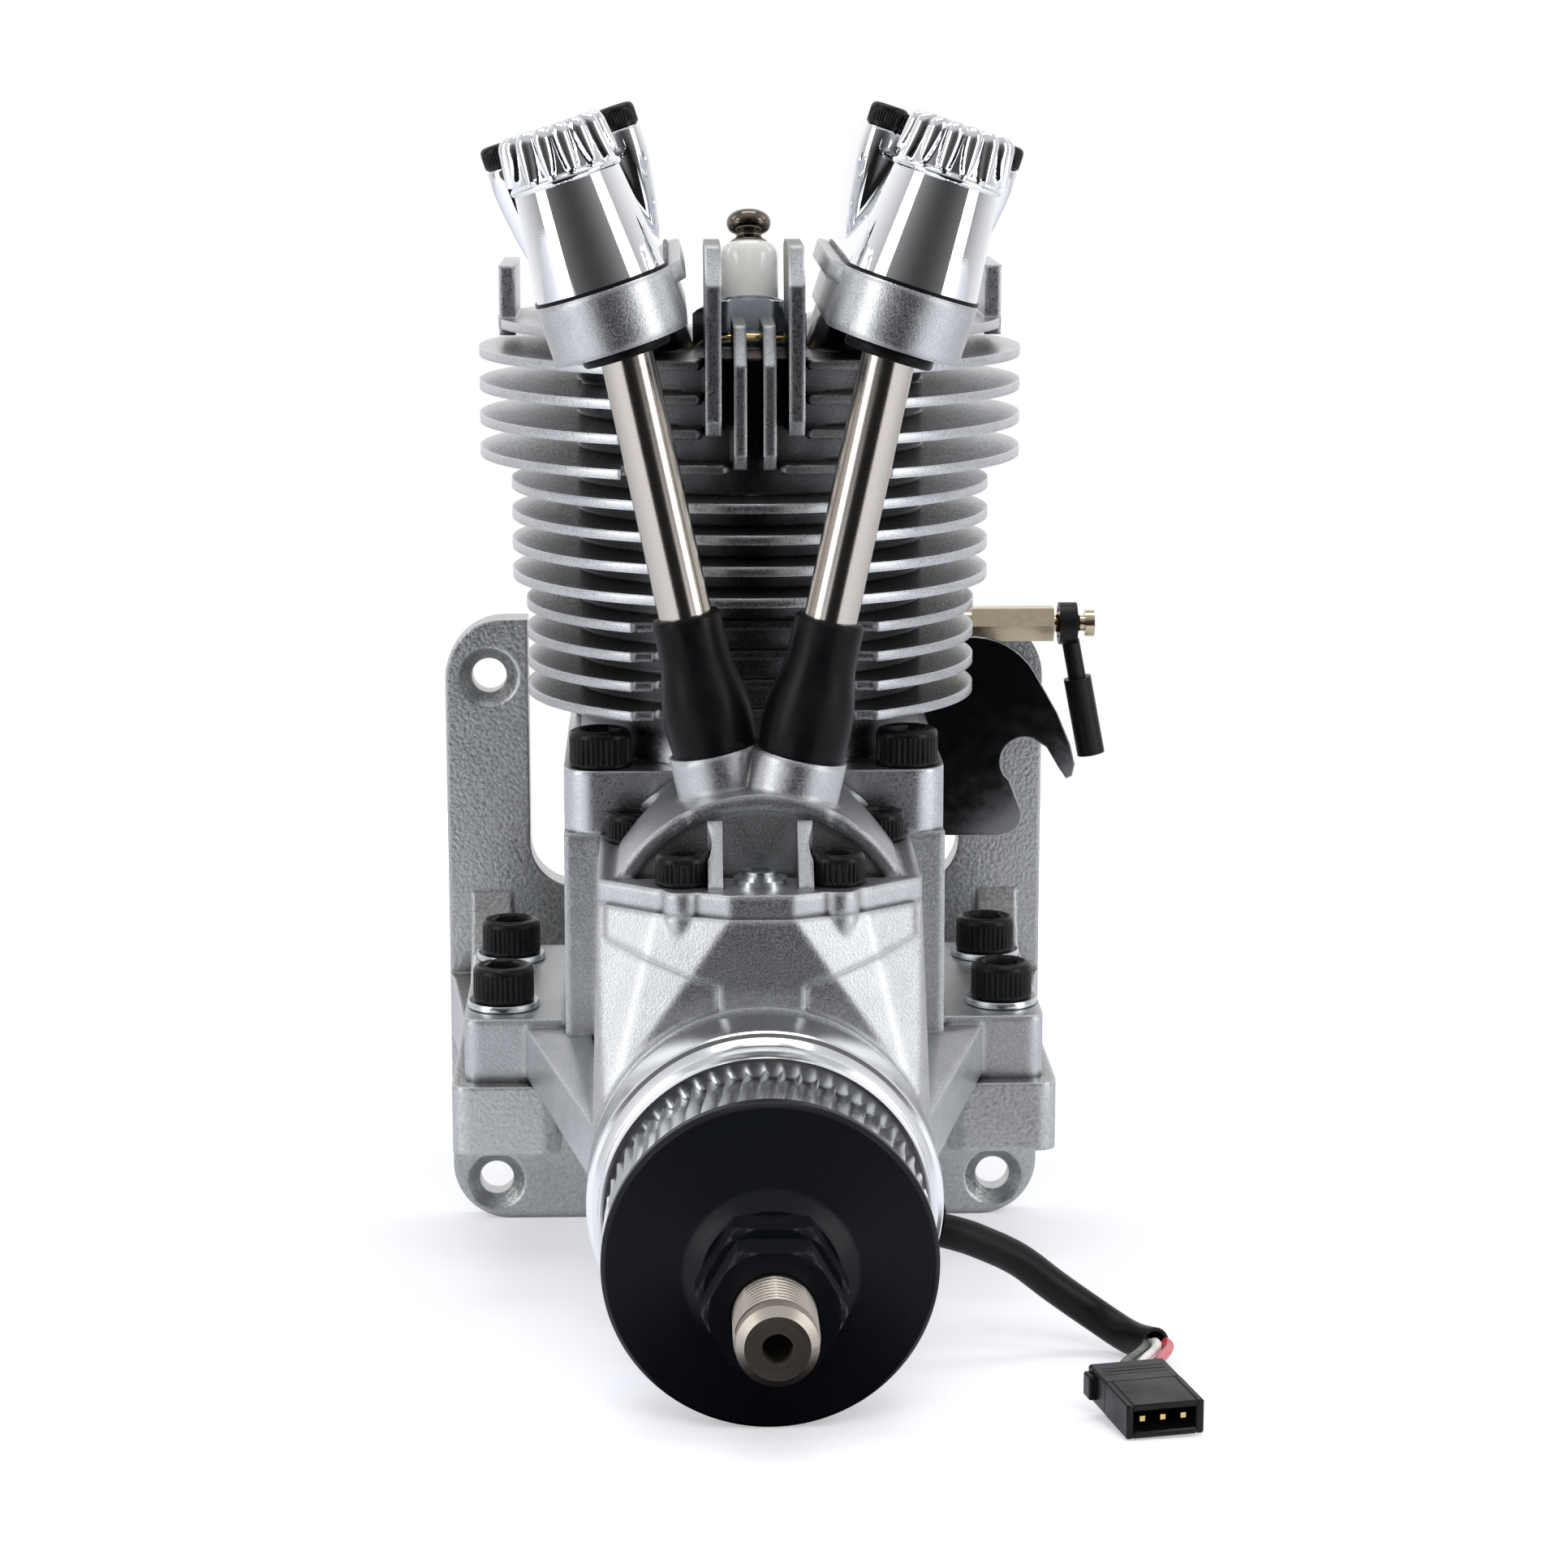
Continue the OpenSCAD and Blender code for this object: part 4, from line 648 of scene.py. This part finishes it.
def cover_rows(edge, top_r):
    """Rows of a cover: radius, height, outward and upward part of the normal, way below the top edge."""
    rows = []
    for z in (0, 0.3, 3, 6, 9, 12, 13.2, 13.6, 13.75, 13.9, 14.05, BEAD, 14.25, 14.4, 14.55, 14.7):
        bead = 0.0
        if abs(z - BEAD) < 0.55:
            bead = 0.42 * max(0.0, math.cos(math.pi * (z - BEAD) / 1.1)) ** 0.7
        rows.append((COVER_R - COVER_TAPER * z + bead, z, 1, 0, FAR))
    for k in range(16):
        z = 15 + (edge - 15) * k / 15
        rows.append((COVER_R - COVER_TAPER * z, z, 1, 0, edge + 0.9 - z))
    for k in range(1, 9):
        a = math.pi / 2 * k / 8
        rows.append((top_r - FILLET * (1 - math.cos(a)), edge + FILLET * math.sin(a) * 0.995, math.cos(a),
                     math.sin(a), 0.9 - FILLET * a))
    flat = top_r - FILLET
    for k in range(1, 7):
        inward = flat * k / 7
        rows.append((flat - inward, COVER_H - 0.01, 0, 1, 0.9 - FILLET * math.pi / 2 - inward))
    return rows


def add_cover(s):
    """Rocker cover with a bead round it, ribs on its front edge, and flanks that carry its screws."""
    edge = COVER_H - FILLET
    top_r = COVER_R - COVER_TAPER * edge
    rings = []
    for radius, z, out, up, below in cover_rows(edge, top_r):
        shrink = 0.6 * z / COVER_H
        ring = []
        for x, y, nx, ny, along in cover_outline(max(radius, 0.05), BOX_FRONT + shrink, BOX_BACK - shrink):
            if abs(along) < radius * math.pi / 2 + 0.01:
                along = along * top_r / max(radius, 0.5)
            bump = rib_height(along, below) if below < 8 else 0.0
            top = min(COVER_Z + z + bump * up, COVER_Z + COVER_H)
            ring.append((x + nx * bump * out, y + ny * bump * out, top))
        rings.append(ring)
    form = Form().rings(rings, box_frame(s))
    # Radius and height of a flank, and how far it sinks into the cover
    flank = [(1.2, 0.3, 1.3), (1.6, 3, 0.9), (2.1, 7, 0.45), (2.5, 12, 0.1), (2.6, 14, 0),
             (2.6, FLANK_TOP - 0.5, 0), (2.5, FLANK_TOP - 0.2, 0), (2.2, FLANK_TOP, 0), (1.0, FLANK_TOP, 0)]
    for lean in (-1, 1):
        rings = []
        for r, z, inward in flank:
            middle = lean * (COVER_SCREW_X - inward)
            rings.append([(middle + x, (FLANK_FRONT if y < 0 else FLANK_BACK) + y, COVER_Z + z)
                          for x, y, _ in circle(r, z, 48)])
        form.rings(rings, box_frame(s))
    name = "left" if s < 0 else "right"
    form.make("rocker_cover_shell_" + name, "chrome_cover", replaces=["rocker_cover_" + name], sharp=60)


# Head fins

def add_shelves():
    """Short fins in the notch of the head, between its cut fins and the upright ones."""
    thick, edge = 1.3, 0.3
    form = Form()
    for i in range(4):
        z = TOP_FIN - 17.8 + 4.6 * i
        reach = -27.4 if i else -28.6
        inner = 6.9 if i else 3.4
        for s in (-1, 1):
            outline = [(inner, -21), (inner, reach + 0.6), (inner + 0.6, reach), (17.9, reach), (18.1, -21)]
            middle = Vector((12.5, -24.5))
            rings = []
            for up, inset in ((0, edge), (edge, 0), (thick - edge, 0), (thick, edge)):
                ring = []
                for x, y in outline:
                    p = Vector((x, y))
                    p += (middle - p).normalized() * inset
                    ring.append((p.x, p.y, z + up))
                rings.append(list(reversed(ring)))
            form.rings(rings, ENGINE @ side(s))
    form.make("head_shelf_fins", "cast_cylinder", sharp=30)


# Boots and plug

def add_boots():
    """Rubber boots at the feet of the push rod tubes, and seals under the rocker boxes."""
    form = Form()
    for s in (-1, 1):
        at_foot = push_frame(s) @ shift(0, 0, 26)
        outer = [(5.6, 0), (5.66, 0.4), (5.85, 2.4), (5.88, 4), (5.8, 5.6), (5.62, 7.2), (5.36, 8.6),
                 (5.08, 9.8), (4.86, 10.8), (4.72, 11.7), (4.64, 12.8), (4.6, 14), (4.58, 16), (4.58, 17.7),
                 (4.5, 18), (4.3, 18.2)]
        form.revolve([(2.9, 0)] + outer + [(3.52, 18.2), (3.52, 6), (2.9, 6)], at_foot, 72, loop=True)
        seal = [(3.4, 0), (5.6, 0), (5.85, 0.25), (5.9, 0.75), (5.85, 1.3), (5.7, 1.48), (3.4, 1.48)]
        form.revolve(seal, box_frame(s) @ shift(-0.3, PUSH_Y[s], -4.9), 64, loop=True)
    form.make("push_rod_boots", "rubber_black", replaces=["tube_boots"], sharp=50)


def add_plug():
    """Spark plug: shell with its hexagon, gasket ring, insulator and terminal, all about the plug's axis."""
    count = 96
    rings = [circle(r, z, count) for r, z in
             ((2.6, -12), (4.4, -12), (5, -11.4), (5, 0), (7.2, 0), (7.5, 0.3), (7.5, 1.2))]
    rings += [hexagon(6.75, count, 1.2, 0.96), hexagon(7, count, 1.5, 0.985), hexagon(7, count, 5.7, 0.985),
              hexagon(6.9, count, 6, 0.93), hexagon(6.7, count, 6.2, 0.88)]
    rings += [circle(r, z, count) for r, z in
              ((5.7, 6.2), (5.6, 6.3), (5.5, 6.8), (5.2, 7), (4.1, 7), (2.6, 7))]
    Form().rings(rings, PLUG, loop=True).make("plug_body", "plug_steel", replaces=["plug_shell"], sharp=25)
    gasket = [(6.6, 0.02), (7.6, 0.02), (7.8, 0.25), (7.8, 0.75), (7.6, 1), (6.6, 1)]
    Form().revolve(gasket, PLUG, 72, loop=True).make("plug_gasket_ring", "gold")
    ceramic = [(0.4, -12), (2.55, -12), (2.55, 6.5), (3.9, 6.9), (4.05, 7.1), (4.05, 13.6), (4.0, 14.2),
               (3.82, 14.8), (3.5, 15.25), (3.1, 15.5), (2.7, 15.6), (0.4, 15.6)]
    Form().revolve(ceramic, PLUG, 72).make("plug_ceramic", "ceramic", replaces=["plug_insulator"], sharp=60)
    knob = [(0.3, 12.6), (1.5, 12.6), (1.5, 15.6), (2.7, 15.62), (2.72, 15.8), (2.45, 16.05), (2.0, 16.35),
            (1.75, 16.7), (1.8, 17.0), (2.2, 17.25), (2.65, 17.5), (2.95, 17.9), (3.1, 18.4), (3.08, 18.95),
            (2.85, 19.5), (2.45, 19.9), (1.9, 20.2), (1.2, 20.36), (0.3, 20.4)]
    Form().revolve(knob, PLUG, 64).make("plug_knob", "black_nickel", replaces=["plug_terminal"], sharp=70)


# Propeller drive

def add_driver():
    """Turned driver: rear rim, step, bright ring, and sharp slanted ridges that grip the propeller."""
    profile = [(6, 0), (21.3, 0), (21.9, 0.25), (22.2, 0.6), (22.3, 1.2), (22.3, 9.2), (22.1, 9.5),
               (21.6, 9.7), (20.9, 10.6), (20.75, 11.4), (20.7, 12.4), (20.7, 14.9), (20.5, 15.3), (20, 15.4)]
    ridges = 56
    wave = (1.0, 0.78, 0.5, 0.22, 0.02, 0.0, 0.05, 0.7)     # height over one ridge
    root, tall, lean = 18.0, 2.0, 0.085
    start, length, rows = 15.4, 16.2, 18
    per = len(wave)
    count = ridges * per
    rings = [circle(r, z, count) for r, z in profile]
    for i in range(rows + 1):
        t = i / rows
        grown = tall * min(1.0, t * 5 + 0.05)
        ring = []
        for k in range(count):
            a = 2 * math.pi * k / count + lean * t
            wobble = 0.04 * math.sin(7.3 * (k // per) + 11 * t)
            r = root + grown * wave[k % per] * (1 + wobble)
            ring.append((r * math.cos(a), r * math.sin(a), start + length * t))
        rings.append(ring)
    rings += [circle(17, start + length, count), circle(6, start + length, count)]
    Form().rings(rings, crank_frame(-NOSE - 3.6), loop=True).make(
        "driver_hub", "machined", "crank", ["prop_driver"], sharp=28)


def add_washer_and_nuts():
    bore = 4.75
    disc = [(bore, 0), (20.0, 0), (20.15, 0.15), (20.15, 1.5), (20.0, 1.8), (19.6, 2.2), (10.7, 4.6),
            (10.2, 4.8), (8.8, 6.2), (8.3, 6.5), (bore, 6.5)]
    Form().revolve(disc, crank_frame(-NOSE - 35.3), 128, loop=True).make(
        "drive_washer", "black_anodised", "crank", ["prop_washer"], sharp=25)
    count = 96
    # Way in front of the nose, half width, length and radius of the collar behind it
    nuts = (("prop_nut", 41.8, 7.9, 5.6, 0), ("lock_nut", 49.2, 7.4, 5.5, 6.4))
    for name, ahead, half, long, collar in nuts:
        place = crank_frame(-NOSE - ahead)
        rings = [hexagon(half, count, 0.0, 0.93), hexagon(half, count, 0.5, 0.99),
                 hexagon(half, count, long - 0.9, 0.99), hexagon(half, count, long - 0.45, 0.95),
                 hexagon(half, count, long - 0.1, 0.89), hexagon(half - 0.35, count, long, 0.86)]
        rings += [circle(r, z, count) for r, z in ((5.2, long), (bore, long - 0.4), (bore, 0))]
        form = Form().rings(rings, place, loop=True)
        if collar:
            form.revolve([(bore, -1.8), (collar, -1.8), (collar, 0.1), (bore, 0.1)], place, count, loop=True)
        form.make(name + "_black", "black_anodised", "crank", [name], sharp=25)


def add_thread():
    """Thread on the free end of the shaft, over the plain cylinder of the crankshaft."""
    turns, per = 8.2, 8         # the pitch is 1 mm
    root, tall, inner = 4.72, 0.2, 4.4
    count = 48
    rings = []
    for i in range(int(turns * per) + 1):
        ring = []
        for k, a in enumerate(angles(count)):
            phase = (i / per + k / count) % 1
            r = root + tall * max(0.0, 1 - abs(phase - 0.5) * 3.2)
            ring.append((r * math.cos(a), r * math.sin(a), i / per))
        rings.append(ring)
    rings += [circle(inner, z, count) for z in (turns, 0)]
    Form().rings(rings, crank_frame(-120.9), loop=True).make(
        "shaft_thread", "shaft_steel", "crank", sharp=60)


# Stage

def add_table():
    """White to the eye, more so away from the engine. Reflections see it dark in a wedge ahead."""
    mesh = bpy.data.meshes.new("table")
    far = TABLE_REACH
    points = [(x, y, table_height(y)) for x, y in ((-far, -far), (far, -far), (far, far), (-far, far))]
    mesh.from_pydata([Vector(p) * MM for p in points], [], [(0, 1, 2, 3)])
    table = bpy.data.objects.new("table", mesh)
    bpy.context.scene.collection.objects.link(table)
    pale, dark = (0.86, 0.87, 0.93), (0.01, 0.01, 0.01)
    s = Shader("table", pale, roughness=0.9, Specular_IOR_Level=0.0)
    paths = s.node("LightPath").outputs
    x, y, _ = s.separate_place()
    ahead = s.math("SUBTRACT", s.math("MULTIPLY", s.math("ADD", y, 0.1), -0.55), s.math("ABSOLUTE", x))
    unlit = s.math("MULTIPLY", s.spread(ahead, 0, 1, 0, 0.01), paths["Is Glossy Ray"])
    s.link("Base Color", s.blend(unlit, pale, dark))
    white = s.spread(s.reach(x, y), 0.4, 1, 0.14, 0.4)
    glow = s.math("ADD", s.math("MULTIPLY", paths["Is Camera Ray"], white),
                  s.math("MULTIPLY", s.math("SUBTRACT", paths["Is Glossy Ray"], unlit), 0.2))
    s.link("Emission Strength", glow)
    s.set("Emission Color", (1, 1, 1, 1))
    mesh.materials.append(s.material)


def add_lamp(name, place, target, size, power, mirrored=True):
    data = bpy.data.lights.new(name, "AREA")
    data.shape = "RECTANGLE"
    data.size, data.size_y = size
    data.energy = power
    lamp = bpy.data.objects.new(name, data)
    lamp.location = place
    lamp.rotation_euler = (Vector(target) - Vector(place)).to_track_quat("-Z", "Y").to_euler()
    lamp.visible_glossy = mirrored
    bpy.context.scene.collection.objects.link(lamp)


# The studio that reflections see, from in front of the engine to behind it: place from 0 to 1, and level
STUDIO = ((0.0, 0.006), (0.05, 0.01), (0.065, 1.0), (0.16, 1.0), (0.17, 0.03), (0.25, 0.03),
          (0.27, 1.0), (0.45, 0.9), (0.55, 0.08), (0.7, 0.1), (0.8, 0.9), (1.0, 1.0))
STUDIO_TOP = (0.6, 0.61, 0.63)
STUDIO_DIFFUSE = (0.3, 0.305, 0.32)     # the world as a source of soft light
STUDIO_LIFT = 0.45                      # how far the pattern shifts with height


def add_world():
    """White to the eye. Reflections see a studio: white behind, pale boxes at both sides, dark in front."""
    world = bpy.data.worlds.new("studio")
    bpy.context.scene.world = world
    world.use_nodes = True
    w = Nodes(world.node_tree)
    x, y, z = w.node("SeparateXYZ", Vector=w.node("TexCoord").outputs["Generated"]).outputs
    facing = w.math("DIVIDE", y, w.math("MAXIMUM", w.reach(x, y), 0.001))
    facing = w.math("ADD", facing, w.math("MULTIPLY", w.math("MAXIMUM", z, 0.0), STUDIO_LIFT))
    ramp = w.node("ValToRGB", Fac=w.spread(facing, 0, 1, -1, 1))
    stops = ramp.color_ramp.elements
    for at, level in STUDIO:
        stop = stops[0] if at == 0.0 else stops[1] if at == 1.0 else stops.new(at)
        stop.position = at
        stop.color = (level, level, level * 1.02, 1)
    room = w.blend(w.spread(z, 0, 1, 0.5, 0.8), ramp.outputs[0], STUDIO_TOP)
    paths = w.node("LightPath").outputs
    seen = w.blend(paths["Is Glossy Ray"], STUDIO_DIFFUSE, room)
    background = w.node("Background", Color=w.blend(paths["Is Camera Ray"], seen, (1, 1, 1)))
    w.node("OutputWorld", Surface=background.outputs[0])


add_lead()
add_screws()
add_washers()
add_cover(-1)
add_cover(1)
add_shelves()
add_boots()
add_plug()
add_driver()
add_washer_and_nuts()
add_thread()
add_table()
add_world()
# Place, aim and size in metres, power in watts
add_lamp("lamp_left", (-0.8, -0.5, 0.35), (0, -0.06, 0.05), (0.4, 0.8), 3.0)
add_lamp("lamp_right", (0.8, -0.5, 0.35), (0, -0.06, 0.05), (0.4, 0.8), 3.0)
add_lamp("lamp_top", (0, 0.1, 0.95), (0, -0.06, 0), (0.7, 0.4), 2.2)
add_lamp("lamp_front", (0, -0.8, 0.6), (0, -0.06, 0.06), (0.5, 0.3), 3.4, mirrored=False)
bpy.context.scene.view_settings.view_transform = "Standard"
